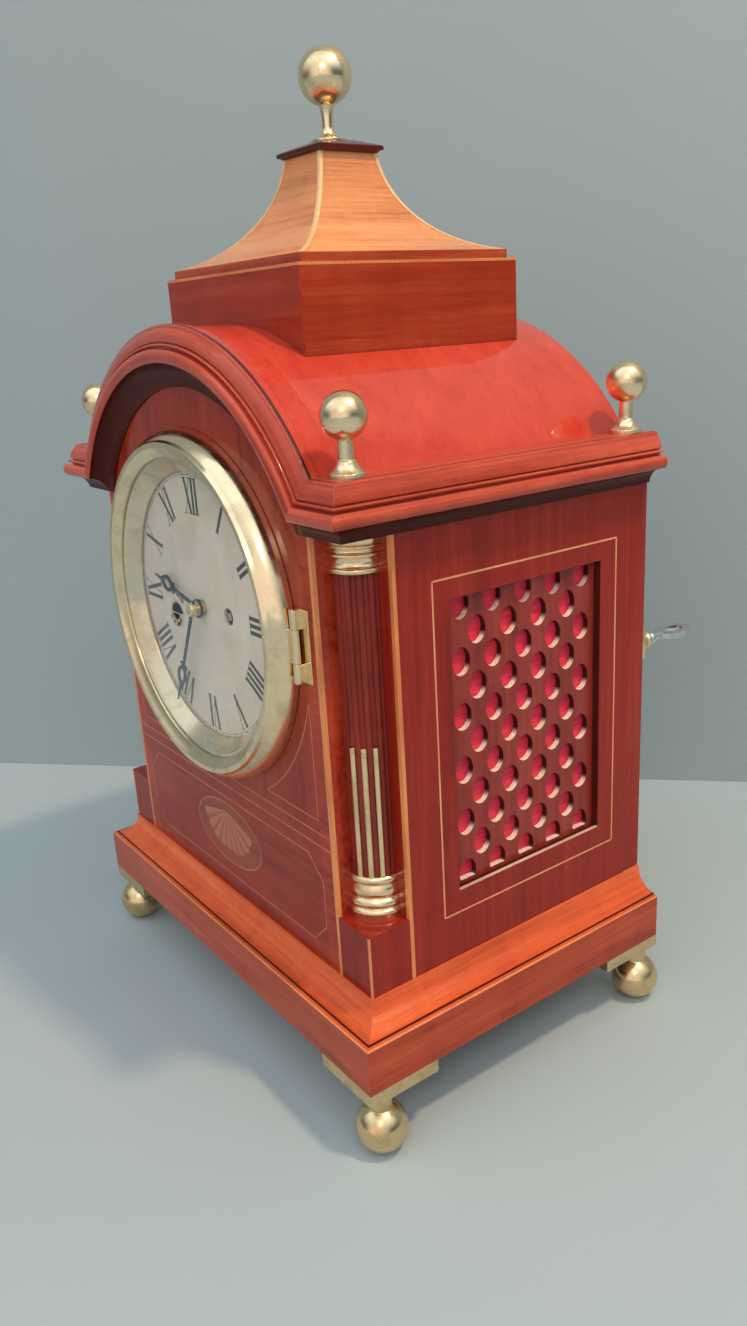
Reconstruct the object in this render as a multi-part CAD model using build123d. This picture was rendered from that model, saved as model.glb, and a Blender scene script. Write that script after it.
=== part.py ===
from build123d import *
import math
import os

# Mantel clock in a mahogany case with an arched top, a pagoda roof and brass mounts.
# Millimetres. +X is the viewer's right, +Y the back and +Z up. The feet stand on Z = 0.

# Case
BODY_W = 290.0
BODY_D = 208.0
BODY_FRONT = -119.4
BODY_BACK = BODY_FRONT + BODY_D
HALF_W = BODY_W / 2
PANEL_T = 12.0
FRONT_T = 14.0
NOTCH = 26.8
NOTCH_X = HALF_W - NOTCH
NOTCH_Y = BODY_FRONT + NOTCH
INNER_X = HALF_W - PANEL_T
REACH = 400.0

# Feet and plinth
FOOT_R = 14.4
FOOT_Z = 14.0
FOOT_X = 152.8
FOOT_FRONT_Y = BODY_FRONT - 4.7
FOOT_BACK_Y = BODY_BACK - 10.0
FOOT_PLATE = 45.0
FOOT_PLATE_T = 9.0
PLINTH_Z = 43.0
PLINTH_H = 43.0
PLINTH_OUT = 16.0
PLINTH_WALL = 10.0
BODY_Z = PLINTH_Z + PLINTH_H
BASE_BOARD_T = 16.0

# Cornice, arch and roof
CORNICE_Z = 326.5
CORNICE_H = 28.0
CORNICE_OUT = 13.3
LEDGE_Z = CORNICE_Z + CORNICE_H
DIAL_Z = 270.5
ARCH_R = 122.5
ARCH_LIP = 4.0
ROOF_R = 152.5
ROOF_T = 10.0
BOX_HALF = 71.5
BOX_FRONT = BODY_FRONT + 35.0
BOX_BACK = BODY_BACK - 28.0
BOX_Y = (BOX_FRONT + BOX_BACK) / 2
BOX_TOP = 449.4
PAGODA_H = 58.8
CAP_Z = BOX_TOP + PAGODA_H
CAP_HALF = 21.5
CAP_H = 7.2
BALL_R = 14.9
BALL_Z = 548.2
FINIAL_X = 138.7
FINIAL_FRONT_Y = BODY_FRONT + 9.8
FINIAL_BACK_Y = BODY_BACK - 11.7
FINIAL_R = 11.0
FINIAL_Z = 381.5

# Corner columns
COLUMN_X = NOTCH_X + 2.0
COLUMN_Y = NOTCH_Y - 2.0
COLUMN_R = 14.5
PEDESTAL_TOP = 122.0
SHAFT_Z = 146.0
CAPITAL_Z = 307.3
FLUTES = 4
FLUTE_STEP = 24.0
FLUTE_R = 1.8
REED_R = 1.6
REED_TOP = 218.6

# Side frets
FRET_Y0 = BODY_FRONT + 61.7
FRET_Y1 = BODY_FRONT + 170.4
FRET_Z0 = 125.7
FRET_Z1 = 288.5
FRET_T = 3.5
FRET_EDGE = 2.0
FRET_RECESS = 5.0
FRET_COLUMNS = 9
FRET_PITCH_Y = 11.0
FRET_PITCH_Z = 30.3
FRET_HOLE_W = 12.0
FRET_HOLE_H = 15.4
SILK_T = 0.6

# Dial, hands and bezel
DIAL_HOLE_R = 85.0
DIAL_R = 84.5
DIAL_Y = BODY_FRONT + 0.5
DIAL_T = 1.5
WINDING_X = 30.0
WINDING_HOLE_R = 5.0
BEZEL_R = 101.0
SIGHT_R = 77.0
GLASS_R = 86.0
GLASS_T = 2.0
BEZEL_PIN_X = 105.0
BEZEL_PIN_Y = BODY_FRONT - 4.2
HOUR_ANGLE = 283.0
MINUTE_ANGLE = 208.0
HOUR_HAND = 54.0
MINUTE_HAND = 71.0

# Back door, lock and key
DOOR_T = 14.0
DOOR_HALF = HALF_W - 0.3
DOOR_Z0 = BODY_Z + 0.6
DOOR_Z1 = CORNICE_Z - 0.6
DOOR_IN = BODY_BACK - DOOR_T
WINDOW_X = 96.0
WINDOW_Z0 = 129.0
WINDOW_Z1 = 281.0
GLAZING_EDGE = 4.0
DOOR_PIN_X = -HALF_W - 2.6
HINGE_Z = (130.0, 280.0)
LOCK_X = 137.0
KEY_Z = 230.0
KEY_END_Y = BODY_BACK + 49.9
BOLT_LIFT = 6.0

# Movement
PLATE_HALF = 72.0
PLATE_Z0 = 180.0
PLATE_Z1 = 352.0
PLATE_T = 3.0
PLATE_GAP = 60.0
PLATE_Y0 = BODY_FRONT + 24.0
PLATE_Y1 = PLATE_Y0 + PLATE_T
BACK_PLATE_Y0 = PLATE_Y1 + PLATE_GAP
BACK_PLATE_Y1 = BACK_PLATE_Y0 + PLATE_T
SEAT_T = 12.0
RUN = 0.05
GREAT_TEETH = 84
GREAT_T = 3.0
GOING_GREAT_Y = PLATE_Y1 + 5.0
STRIKE_GREAT_Y = PLATE_Y1 + 10.5
PINION_LEAVES = 8
PINION_T = 5.0
GREAT_M = 2 * WINDING_X / (GREAT_TEETH + PINION_LEAVES)
CENTRE_TEETH = 84
CENTRE_M = 0.6
THIRD_TEETH = 77
THIRD_M = 0.5
UPPER_LEAVES = 7
ESCAPE_TEETH = 30
ESCAPE_R = 15.0
CANNON_TEETH = 24
MINUTE_TEETH = 72
MINUTE_M = 0.45
MINUTE_LEAVES = 12
HOUR_TEETH = 48
HOUR_M = 0.72
BARREL_R = 22.0
PENDULUM_Y = BACK_PLATE_Y1 + 8.0
BOB_Z = 125.0
BOB_R = 24.0
BELL_R = 40.0
BELL_Z = 360.0
BELL_Y = (PLATE_Y1 + BACK_PLATE_Y0) / 2


def above(start, distance, x):
    """The arbor at a given distance over another one, at a chosen x."""
    return x, start[1] + math.sqrt(distance**2 - (x - start[0]) ** 2)


def direction(start, end):
    """Angle in degrees from one arbor to another, from +X towards +Z."""
    return math.degrees(math.atan2(end[1] - start[1], end[0] - start[0]))


CENTRE = (0.0, DIAL_Z)
GOING = (WINDING_X, DIAL_Z)
STRIKE = (-WINDING_X, DIAL_Z)
THIRD = above(CENTRE, (CENTRE_TEETH + UPPER_LEAVES) * CENTRE_M / 2, 8.0)
ESCAPE = above(THIRD, (THIRD_TEETH + UPPER_LEAVES) * THIRD_M / 2, 0.0)
ANCHOR = (0.0, ESCAPE[1] + 21.2)
MINUTE = (0.0, DIAL_Z - (CANNON_TEETH + MINUTE_TEETH) * MINUTE_M / 2)
PIN = above(STRIKE, WINDING_X, -42.7)
GOING_BARREL = (45.0, 213.0)
STRIKE_BARREL = (-45.0, 213.0)
HAMMER = (-60.0, 318.0)


# Shapes that many pieces share


def box(x0, x1, y0, y1, z0, z1):
    return Pos((x0 + x1) / 2, (y0 + y1) / 2, (z0 + z1) / 2) * Box(x1 - x0, y1 - y0, z1 - z0)


def rod_y(centre, r, y0, y1):
    return Pos(centre[0], (y0 + y1) / 2, centre[1]) * Rot(90, 0, 0) * Cylinder(r, y1 - y0)


def rod_z(x, y, r, z0, z1):
    return Pos(x, y, (z0 + z1) / 2) * Cylinder(r, z1 - z0)


def face_xz(start, *steps):
    """Closed face in the XZ plane. A step is a point, or an arc's middle and end points."""
    edges = []
    here = start
    for step in steps:
        if isinstance(step[0], tuple):
            middle, end = step
            edges.append(ThreePointArc((here[0], 0, here[1]), (middle[0], 0, middle[1]), (end[0], 0, end[1])))
        else:
            end = step
            edges.append(Line((here[0], 0, here[1]), (end[0], 0, end[1])))
        here = end
    if math.dist(here, start) > 1e-6:
        edges.append(Line((here[0], 0, here[1]), (start[0], 0, start[1])))
    return make_face(edges)


def slab(face, y0, y1):
    return Pos(0, y0, 0) * extrude(face, amount=y1 - y0, dir=(0, 1, 0))


def turned_z(x, y, start, *steps):
    """Turned piece on a vertical axis, from an outline of radius and height."""
    return Pos(x, y, 0) * revolve(face_xz(start, *steps), Axis.Z)


def turned_y(centre, start, *steps):
    """Turned piece on an axis along Y, from an outline of radius and y."""
    return Pos(centre[0], 0, centre[1]) * Rot(-90, 0, 0) * revolve(face_xz(start, *steps), Axis.Z)


def mirrored(shape):
    return mirror(shape, about=Plane.YZ)


def group(shapes):
    return Compound(children=list(shapes))


def shifted(steps, du, dv):
    """The same outline steps, moved."""
    moved = []
    for step in steps:
        if isinstance(step[0], tuple):
            moved.append(tuple((u + du, v + dv) for u, v in step))
        else:
            moved.append((step[0] + du, step[1] + dv))
    return moved


def moulded_block(steps, height, half_width, front, back, z0, plain_back):
    """Block whose sides follow a moulding of projection and height, mitred at the corners."""
    across = face_xz((0, z0), *shifted(steps, half_width, z0), (0, z0 + height))
    wide = slab(across, -REACH, REACH)
    wide = wide + mirrored(wide)
    if plain_back:
        along = face_xz((-back, z0), *shifted(steps, -front, z0), (-back, z0 + height))
        deep = Rot(0, 0, -90) * slab(along, -REACH, REACH)
    else:
        along = face_xz((0, z0), *shifted(steps, (back - front) / 2, z0), (0, z0 + height))
        deep = Rot(0, 0, -90) * slab(along, -REACH, REACH)
        deep = deep + mirror(deep, about=Plane.XZ)
        deep = Pos(0, (front + back) / 2, 0) * deep
    return wide & deep


# Base


def ball_feet():
    neck_r = 6.5
    neck_bottom = FOOT_Z + math.sqrt(FOOT_R**2 - neck_r**2)
    flat_r = math.sqrt(FOOT_R**2 - FOOT_Z**2)
    neck_top = PLINTH_Z - FOOT_PLATE_T
    feet = []
    for x in (-FOOT_X, FOOT_X):
        for y in (FOOT_FRONT_Y, FOOT_BACK_Y):
            ball = ((FOOT_R, FOOT_Z), (neck_r, neck_bottom))
            feet.append(turned_z(x, y, (0, 0), (flat_r, 0), ball, (neck_r, neck_top), (0, neck_top)))
    return group(feet)


def foot_plates():
    x1 = HALF_W + PLINTH_OUT
    x0 = x1 - FOOT_PLATE
    front = BODY_FRONT - PLINTH_OUT
    plates = []
    for y0 in (front, BODY_BACK - FOOT_PLATE):
        plate = box(x0, x1, y0, y0 + FOOT_PLATE, PLINTH_Z - FOOT_PLATE_T, PLINTH_Z)
        plate = chamfer(plate.faces().sort_by(Axis.Z)[0].edges(), 1.5)
        plates += [plate, mirrored(plate)]
    return group(plates)


def plinth_moulding():
    steps = [
        (PLINTH_OUT, 0),
        (PLINTH_OUT, 26.6),
        (PLINTH_OUT - 1.0, 27.6),
        (PLINTH_OUT - 2.6, 27.6),
        (PLINTH_OUT - 2.6, 28.6),
        ((5.2, 32.2), (1.0, 41.4)),
        (1.0, PLINTH_H),
    ]
    block = moulded_block(steps, PLINTH_H, HALF_W, BODY_FRONT, BODY_BACK, PLINTH_Z, True)
    x = HALF_W - PLINTH_WALL
    y0 = BODY_FRONT + PLINTH_WALL
    y1 = BODY_BACK - PLINTH_WALL
    return block - box(-x, x, y0, y1, PLINTH_Z, BODY_Z)


def base_board():
    x = HALF_W - PLINTH_WALL
    y0 = BODY_FRONT + PLINTH_WALL
    y1 = BODY_BACK - PLINTH_WALL
    return box(-x, x, y0, y1, BODY_Z - BASE_BOARD_T, BODY_Z)


# Carcase


def front_panel():
    wing = math.sqrt(ROOF_R**2 - (CORNICE_Z - DIAL_Z) ** 2)
    outline = face_xz(
        (-NOTCH_X, BODY_Z),
        (NOTCH_X, BODY_Z),
        (NOTCH_X, CORNICE_Z),
        (wing, CORNICE_Z),
        ((0, DIAL_Z + ROOF_R), (-wing, CORNICE_Z)),
        (-NOTCH_X, CORNICE_Z),
    )
    panel = slab(outline, BODY_FRONT, BODY_FRONT + FRONT_T)
    back = NOTCH_Y + PANEL_T
    cheek = box(NOTCH_X - PANEL_T, NOTCH_X, BODY_FRONT + FRONT_T, back, BODY_Z, CORNICE_Z)
    hole = rod_y(CENTRE, DIAL_HOLE_R, BODY_FRONT - 1, BODY_FRONT + FRONT_T + 1)
    return panel + cheek + mirrored(cheek) - hole


def side_panel_right():
    panel = box(INNER_X, HALF_W, NOTCH_Y, DOOR_IN, BODY_Z, CORNICE_Z)
    stile = box(NOTCH_X, INNER_X, NOTCH_Y, NOTCH_Y + PANEL_T, BODY_Z, CORNICE_Z)
    window = box(INNER_X - 1, HALF_W + 1, FRET_Y0, FRET_Y1, FRET_Z0, FRET_Z1)
    return panel + stile - window


def fret_right():
    """Sawn fret of staggered oval holes, cut short where a column meets the frame."""
    y_mid = (FRET_Y0 + FRET_Y1) / 2
    z_mid = (FRET_Z0 + FRET_Z1) / 2
    plate = Rectangle(FRET_Y1 - FRET_Y0, FRET_Z1 - FRET_Z0)
    inside = Rectangle(FRET_Y1 - FRET_Y0 - 2 * FRET_EDGE, FRET_Z1 - FRET_Z0 - 2 * FRET_EDGE)
    hole = Ellipse(FRET_HOLE_W / 2, FRET_HOLE_H / 2)
    holes = []
    for column in range(FRET_COLUMNS):
        u = (column - (FRET_COLUMNS - 1) / 2) * FRET_PITCH_Y
        rows = 6 - column % 2
        for row in range(rows):
            v = (row - (rows - 1) / 2) * FRET_PITCH_Z
            holes.append(Pos(u, v) * hole & inside)
    for cut in holes:
        plate = plate - cut
    x = HALF_W - FRET_RECESS - FRET_T
    upright = Plane(origin=(x, y_mid, z_mid), x_dir=(0, 1, 0), z_dir=(1, 0, 0))
    return extrude(upright * plate, amount=FRET_T)


def silk_right():
    x = HALF_W - FRET_RECESS - FRET_T - 0.2
    gap = 0.4
    return box(x - SILK_T, x, FRET_Y0 + gap, FRET_Y1 - gap, FRET_Z0 + gap, FRET_Z1 - gap)


def corner_pedestals():
    block = box(NOTCH_X, HALF_W, BODY_FRONT, NOTCH_Y, BODY_Z, PEDESTAL_TOP)
    return group([block, mirrored(block)])


def in_notch(piece):
    """The part of a turned piece that stands in the corner notch of the case."""
    return piece & box(NOTCH_X, HALF_W, BODY_FRONT, NOTCH_Y, BODY_Z, CORNICE_Z)


def flute_places(turns):
    """Centres of the flutes, counted from the flute that faces the outward corner."""
    places = []
    for turn in turns:
        angle = math.radians(-45 + turn * FLUTE_STEP)
        places.append((COLUMN_X + COLUMN_R * math.cos(angle), COLUMN_Y + COLUMN_R * math.sin(angle)))
    return places


def columns():
    shaft = rod_z(COLUMN_X, COLUMN_Y, COLUMN_R, SHAFT_Z, CAPITAL_Z)
    for x, y in flute_places(range(-FLUTES // 2, FLUTES // 2 + 1)):
        shaft = shaft - rod_z(x, y, FLUTE_R, SHAFT_Z, CAPITAL_Z)
    shaft = in_notch(shaft)
    return group([shaft, mirrored(shaft)])


def column_brasses():
    """Turned bases and capitals, and the reeds that fill the lower part of the outer flutes."""
    foot = turned_z(
        COLUMN_X,
        COLUMN_Y,
        (0, PEDESTAL_TOP),
        (17.2, PEDESTAL_TOP),
        (17.2, 123.4),
        ((17.5, 125.2), (16.2, 127.0)),
        (15.8, 127.4),
        ((17.2, 130.0), (15.8, 132.6)),
        (15.2, 133.2),
        ((16.4, 136.8), (15.2, 140.4)),
        (14.9, 141.0),
        (15.4, 141.6),
        ((16.8, 143.8), (15.4, SHAFT_Z)),
        (0, SHAFT_Z),
    )
    capital = turned_z(
        COLUMN_X,
        COLUMN_Y,
        (0, CAPITAL_Z),
        (15.8, CAPITAL_Z),
        ((17.0, 308.9), (15.8, 310.5)),
        ((14.8, 312.9), (15.4, 315.3)),
        ((16.4, 316.3), (15.4, 317.3)),
        ((14.9, 318.5), (15.4, 319.7)),
        ((16.6, 320.6), (15.8, 321.5)),
        (16.4, 322.0),
        (17.2, CORNICE_Z),
        (0, CORNICE_Z),
    )
    brasses = [in_notch(foot), in_notch(capital)]
    for x, y in flute_places((-1, 0, 1)):
        brasses.append(rod_z(x, y, REED_R, SHAFT_Z, REED_TOP))
    return group(brasses + [mirrored(b) for b in brasses])


# Cornice and roof

CORNICE_STEPS = [
    (1.3, 0),
    ((3.4, 5.0), (10.0, 8.6)),
    (11.6, 8.6),
    ((CORNICE_OUT, 12.1), (11.6, 15.6)),
    (8.0, 15.6),
    (8.0, 17.0),
    (9.8, 17.0),
    ((10.5, 17.7), (9.8, 18.4)),
    (7.6, 18.4),
    (7.6, 19.2),
    (9.0, 19.2),
    ((8.2, 22.9), (6.0, 26.2)),
    ((5.5, 27.4), (4.5, CORNICE_H)),
]


def mitre_x(z):
    """Half width at which the arch moulding meets the level shoulders."""
    radius = ARCH_R + ARCH_LIP + z - CORNICE_Z
    return math.sqrt(radius**2 - (z - DIAL_Z) ** 2)


def arch_region():
    """Place of the arch moulding, which ends on two mitres with the level moulding."""
    middle = (CORNICE_Z + LEDGE_Z) / 2
    top = LEDGE_Z + REACH
    low = mitre_x(CORNICE_Z)
    half = mitre_x(middle)
    high = mitre_x(LEDGE_Z)
    return face_xz(
        (-low, CORNICE_Z),
        (low, CORNICE_Z),
        ((half, middle), (high, LEDGE_Z)),
        (high, top),
        (-high, top),
        (-high, LEDGE_Z),
        ((-half, middle), (-low, CORNICE_Z)),
    )


def front_cornice():
    foot = ARCH_R + ARCH_LIP
    outline = []
    for step in CORNICE_STEPS:
        if isinstance(step[0], tuple):
            outline.append(tuple((foot + h, BODY_FRONT - p) for p, h in step))
        else:
            outline.append((foot + step[1], BODY_FRONT - step[0]))
    lip = [(ARCH_R, BODY_FRONT), (ARCH_R, BODY_FRONT - 1.0), (ARCH_R + 1.5, BODY_FRONT - 1.0)]
    ring = turned_y(CENTRE, *lip, *outline, (foot + CORNICE_H, BODY_FRONT))
    return ring & slab(arch_region(), BODY_FRONT - REACH, BODY_FRONT + REACH)


def side_cornices():
    block = moulded_block(CORNICE_STEPS, CORNICE_H, HALF_W, BODY_FRONT, BODY_BACK, CORNICE_Z, True)
    shoulders = block - slab(arch_region(), BODY_FRONT - REACH, BODY_FRONT)
    shoulders = shoulders - rod_y(CENTRE, ROOF_R, BODY_FRONT, BODY_BACK + 1)
    return group(shoulders.solids())


def roof_barrel():
    y0 = BODY_FRONT + FRONT_T
    shell = rod_y(CENTRE, ROOF_R, y0, BODY_BACK) - rod_y(CENTRE, ROOF_R - ROOF_T, y0, BODY_BACK)
    return shell & box(-REACH, REACH, y0, BODY_BACK, CORNICE_Z, CORNICE_Z + REACH)


def back_arch():
    inside = ROOF_R - ROOF_T
    disc = rod_y(CENTRE, inside, BODY_BACK - PANEL_T, BODY_BACK)
    return disc & box(-inside, inside, BODY_BACK - PANEL_T, BODY_BACK, CORNICE_Z, DIAL_Z + inside)


def top_box():
    block = box(-BOX_HALF, BOX_HALF, BOX_FRONT, BOX_BACK, DIAL_Z + 100.0, BOX_TOP)
    return block - rod_y(CENTRE, ROOF_R, BODY_FRONT, BODY_BACK)


def pagoda_roof():
    steps = [
        (-3.5, 0),
        (-3.5, 4.8),
        (-4.5, 4.8),
        ((-37.1, 23.2), (-53.5, PAGODA_H)),
    ]
    return moulded_block(steps, PAGODA_H, BOX_HALF, BOX_FRONT, BOX_BACK, BOX_TOP, False)


def pagoda_cap():
    steps = [
        (-2.5, 0),
        ((-1.6, 0.8), (-0.6, 1.2)),
        (0, 1.3),
        (0, 3.2),
        (-1.0, 3.8),
        (-11.2, CAP_H),
    ]
    return moulded_block(steps, CAP_H, CAP_HALF, BOX_Y - CAP_HALF, BOX_Y + CAP_HALF, CAP_Z, False)


def top_finial():
    z0 = CAP_Z + CAP_H
    neck = 4.4
    meet = BALL_Z - math.sqrt(BALL_R**2 - neck**2)
    return turned_z(
        0,
        BOX_Y,
        (0, z0),
        (10.0, z0),
        (10.0, z0 + 1.2),
        ((5.4, z0 + 2.8), (3.3, z0 + 7.0)),
        ((3.4, z0 + 12.0), (neck, meet)),
        ((BALL_R, BALL_Z), (0, BALL_Z + BALL_R)),
    )


def corner_finials():
    neck = 3.8
    meet = FINIAL_Z - math.sqrt(FINIAL_R**2 - neck**2)
    finials = []
    for x in (-FINIAL_X, FINIAL_X):
        for y in (FINIAL_FRONT_Y, FINIAL_BACK_Y):
            finials.append(
                turned_z(
                    x,
                    y,
                    (0, LEDGE_Z),
                    (8.9, LEDGE_Z),
                    (8.9, LEDGE_Z + 2.0),
                    (8.0, LEDGE_Z + 2.7),
                    ((5.9, LEDGE_Z + 4.6), (4.7, LEDGE_Z + 7.2)),
                    (neck, LEDGE_Z + 8.0),
                    (neck, meet),
                    ((FINIAL_R, FINIAL_Z), (0, FINIAL_Z + FINIAL_R)),
                )
            )
    return group(finials)


# Back door, hinges, lock and key


def lock_space():
    return box(LOCK_X - 6.5, LOCK_X + 6.5, DOOR_IN, BODY_BACK - 4.0, KEY_Z - 9.0, KEY_Z + 36.0)


def back_door():
    leaf = box(-DOOR_HALF, DOOR_HALF, DOOR_IN, BODY_BACK, DOOR_Z0, DOOR_Z1)
    window = box(-WINDOW_X, WINDOW_X, DOOR_IN - 1, BODY_BACK + 1, WINDOW_Z0, WINDOW_Z1)
    keyway = rod_y((LOCK_X, KEY_Z), 3.0, DOOR_IN, BODY_BACK + 1)
    return leaf - window - door_glass() - lock_space() - keyway


def door_glass():
    x = WINDOW_X + GLAZING_EDGE
    y = BODY_BACK - 8.0
    return box(-x, x, y - 2.0, y, WINDOW_Z0 - GLAZING_EDGE, WINDOW_Z1 + GLAZING_EDGE)


def case_hinge_leaves():
    leaves = []
    for z in HINGE_Z:
        leaf = box(-HALF_W - 1.0, -HALF_W, DOOR_IN - 16.0, DOOR_IN - 3.4, z - 18.0, z + 18.0)
        leaf = leaf + rod_z(DOOR_PIN_X, DOOR_IN, 1.2, z - 18.0, z + 18.0)
        for z0 in (z - 18.0, z + 6.0):
            leaf = leaf + box(-HALF_W - 1.0, -HALF_W, DOOR_IN - 3.4, DOOR_IN - 0.3, z0, z0 + 12.0)
            leaf = leaf + rod_z(DOOR_PIN_X, DOOR_IN, 2.4, z0, z0 + 12.0)
        leaves.append(leaf)
    return group(leaves)


def door_hinge_leaves():
    leaves = []
    for z in HINGE_Z:
        leaf = box(-DOOR_HALF - 1.0, -DOOR_HALF, DOOR_IN + 0.5, BODY_BACK - 1.0, z - 5.8, z + 5.8)
        leaf = leaf + rod_z(DOOR_PIN_X, DOOR_IN, 2.4, z - 5.8, z + 5.8)
        leaf = leaf - rod_z(DOOR_PIN_X, DOOR_IN, 1.2 + RUN, z - 6.0, z + 6.0)
        leaves.append(leaf)
    return group(leaves)


def bolt(gap):
    """The rising bolt, or the channel it runs in when it is given a gap and its lift."""
    lift = BOLT_LIFT if gap else 0
    x = 2.0 + gap
    y = BODY_BACK - 8.5
    half = 1.5 + gap
    z0 = KEY_Z + 7.0 - gap
    z1 = KEY_Z + 25.0 + lift + gap
    return box(LOCK_X - x, LOCK_X + x, y - half, y + half, z0, z1)


def door_lock():
    mouth = box(LOCK_X - 5.2, LOCK_X + 5.2, DOOR_IN - 1, BODY_BACK - 4.4, KEY_Z + 26.2, KEY_Z + 29.8)
    keyway = rod_y((LOCK_X, KEY_Z), 2.5, DOOR_IN + 2.0, BODY_BACK)
    ward = rod_y((LOCK_X, KEY_Z), 5.6, BODY_BACK - 10.6, BODY_BACK - 6.4)
    return lock_space() - bolt(0.2) - mouth - keyway - ward


def lock_bolt():
    return bolt(0)


def lock_staple():
    """Flat loop on the case that the bolt rises through."""
    y = BODY_BACK - 8.5
    plate = box(LOCK_X - 4.5, LOCK_X + 4.5, DOOR_IN, BODY_BACK - 5.0, KEY_Z + 27.0, KEY_Z + 29.0)
    return plate - box(LOCK_X - 2.5, LOCK_X + 2.5, y - 2.1, y + 2.1, KEY_Z + 26.0, KEY_Z + 30.0)


def lock_escutcheon():
    """Cast brass plate with a turned boss round the keyhole."""
    y = BODY_BACK
    outline = face_xz(
        (LOCK_X - 3.0, KEY_Z - 20.0),
        ((LOCK_X, KEY_Z - 22.0), (LOCK_X + 3.0, KEY_Z - 20.0)),
        ((LOCK_X + 3.6, KEY_Z - 12.5), (LOCK_X + 7.0, KEY_Z - 8.0)),
        ((LOCK_X + 7.6, KEY_Z), (LOCK_X + 7.0, KEY_Z + 8.0)),
        ((LOCK_X + 3.6, KEY_Z + 12.5), (LOCK_X + 3.0, KEY_Z + 20.0)),
        ((LOCK_X, KEY_Z + 22.0), (LOCK_X - 3.0, KEY_Z + 20.0)),
        ((LOCK_X - 3.6, KEY_Z + 12.5), (LOCK_X - 7.0, KEY_Z + 8.0)),
        ((LOCK_X - 7.6, KEY_Z), (LOCK_X - 7.0, KEY_Z - 8.0)),
        ((LOCK_X - 3.6, KEY_Z - 12.5), (LOCK_X - 3.0, KEY_Z - 20.0)),
    )
    plate = slab(outline, y, y + 2.4)
    boss = turned_y(
        (LOCK_X, KEY_Z),
        (0, y + 2.0),
        (6.8, y + 2.0),
        ((6.6, y + 5.4), (4.6, y + 8.0)),
        (4.4, y + 9.4),
        ((5.2, y + 11.4), (4.0, y + 13.4)),
        (0, y + 13.4),
    )
    return plate + boss - rod_y((LOCK_X, KEY_Z), 2.5, y - 1, y + 20.0)


def door_key():
    """Steel key in the unlocked place, with its flat bow level."""
    shank_r = 2.3
    bow_y0 = KEY_END_Y - 27.0
    bow_y = (bow_y0 + KEY_END_Y) / 2
    shank = rod_y((LOCK_X, KEY_Z), shank_r, BODY_BACK - 10.0, bow_y0 + 2.0)
    collar = turned_y(
        (LOCK_X, KEY_Z),
        (0, BODY_BACK + 14.0),
        (3.4, BODY_BACK + 14.0),
        ((4.0, BODY_BACK + 15.5), (3.4, BODY_BACK + 17.0)),
        (0, BODY_BACK + 17.0),
    )
    bit = box(LOCK_X - 5.2, LOCK_X, BODY_BACK - 10.0, BODY_BACK - 7.0, KEY_Z - 1.0, KEY_Z + 1.0)
    bow = Pos(LOCK_X, bow_y, KEY_Z) * extrude(Ellipse(8.5, 13.5) - Ellipse(4.0, 8.0), amount=1.6, both=True)
    return shank + collar + bit + bow


# Bezel, dial and hands


def bezel():
    f = BODY_FRONT
    ring = turned_y(
        CENTRE,
        (SIGHT_R, f - 0.3),
        (BEZEL_R, f - 0.3),
        (BEZEL_R, f - 3.5),
        ((99.4, f - 8.6), (95.5, f - 13.0)),
        (94.4, f - 15.2),
        (91.6, f - 15.2),
        ((88.6, f - 13.0), (GLASS_R + 0.1, f - 11.6)),
        (GLASS_R + 0.1, f - 9.0),
        (GLASS_R - 2.0, f - 9.0),
        (SIGHT_R, f - 1.2),
    )
    tongue = box(BEZEL_R - 3.0, BEZEL_PIN_X, f - 5.8, f - 2.6, DIAL_Z - 8.6, DIAL_Z + 8.6)
    knuckle = rod_z(BEZEL_PIN_X, BEZEL_PIN_Y, 2.2, DIAL_Z - 8.6, DIAL_Z + 8.6)
    bore = rod_z(BEZEL_PIN_X, BEZEL_PIN_Y, 1.1 + RUN, DIAL_Z - 9.0, DIAL_Z + 9.0)
    return ring + tongue + knuckle - bore


def bezel_glass():
    """Domed glass of even thickness."""
    rim = BODY_FRONT - 9.1
    rise = 6.0
    half = GLASS_R / 2
    inner_r = (GLASS_R**2 + rise**2) / (2 * rise)
    mid = rise - inner_r + math.sqrt(inner_r**2 - half**2)
    return turned_y(
        CENTRE,
        (0, rim - rise),
        ((half, rim - mid), (GLASS_R, rim)),
        (GLASS_R, rim - GLASS_T),
        ((half, rim - GLASS_T - mid), (0, rim - GLASS_T - rise)),
    )


def bezel_hinge():
    f = BODY_FRONT
    z0 = DIAL_Z - 19.0
    z1 = DIAL_Z + 19.0
    leaf = box(BEZEL_PIN_X + 1.4, BEZEL_PIN_X + 8.0, f - 1.2, f, z0, z1)
    leaf = leaf + rod_z(BEZEL_PIN_X, BEZEL_PIN_Y, 1.1, z0, z1)
    for low, high in ((z0, DIAL_Z - 9.0), (DIAL_Z + 9.0, z1)):
        leaf = leaf + rod_z(BEZEL_PIN_X, BEZEL_PIN_Y, 2.2, low, high)
        leaf = leaf + box(BEZEL_PIN_X + 0.4, BEZEL_PIN_X + 2.2, BEZEL_PIN_Y, f, low, high)
    return leaf


def dial():
    disc = rod_y(CENTRE, DIAL_R, DIAL_Y, DIAL_Y + DIAL_T) - rod_y(CENTRE, 4.2, DIAL_Y - 1, DIAL_Y + 3)
    for winding in (GOING, STRIKE):
        disc = disc - rod_y(winding, WINDING_HOLE_R, DIAL_Y - 1, DIAL_Y + 3)
    return disc


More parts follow.
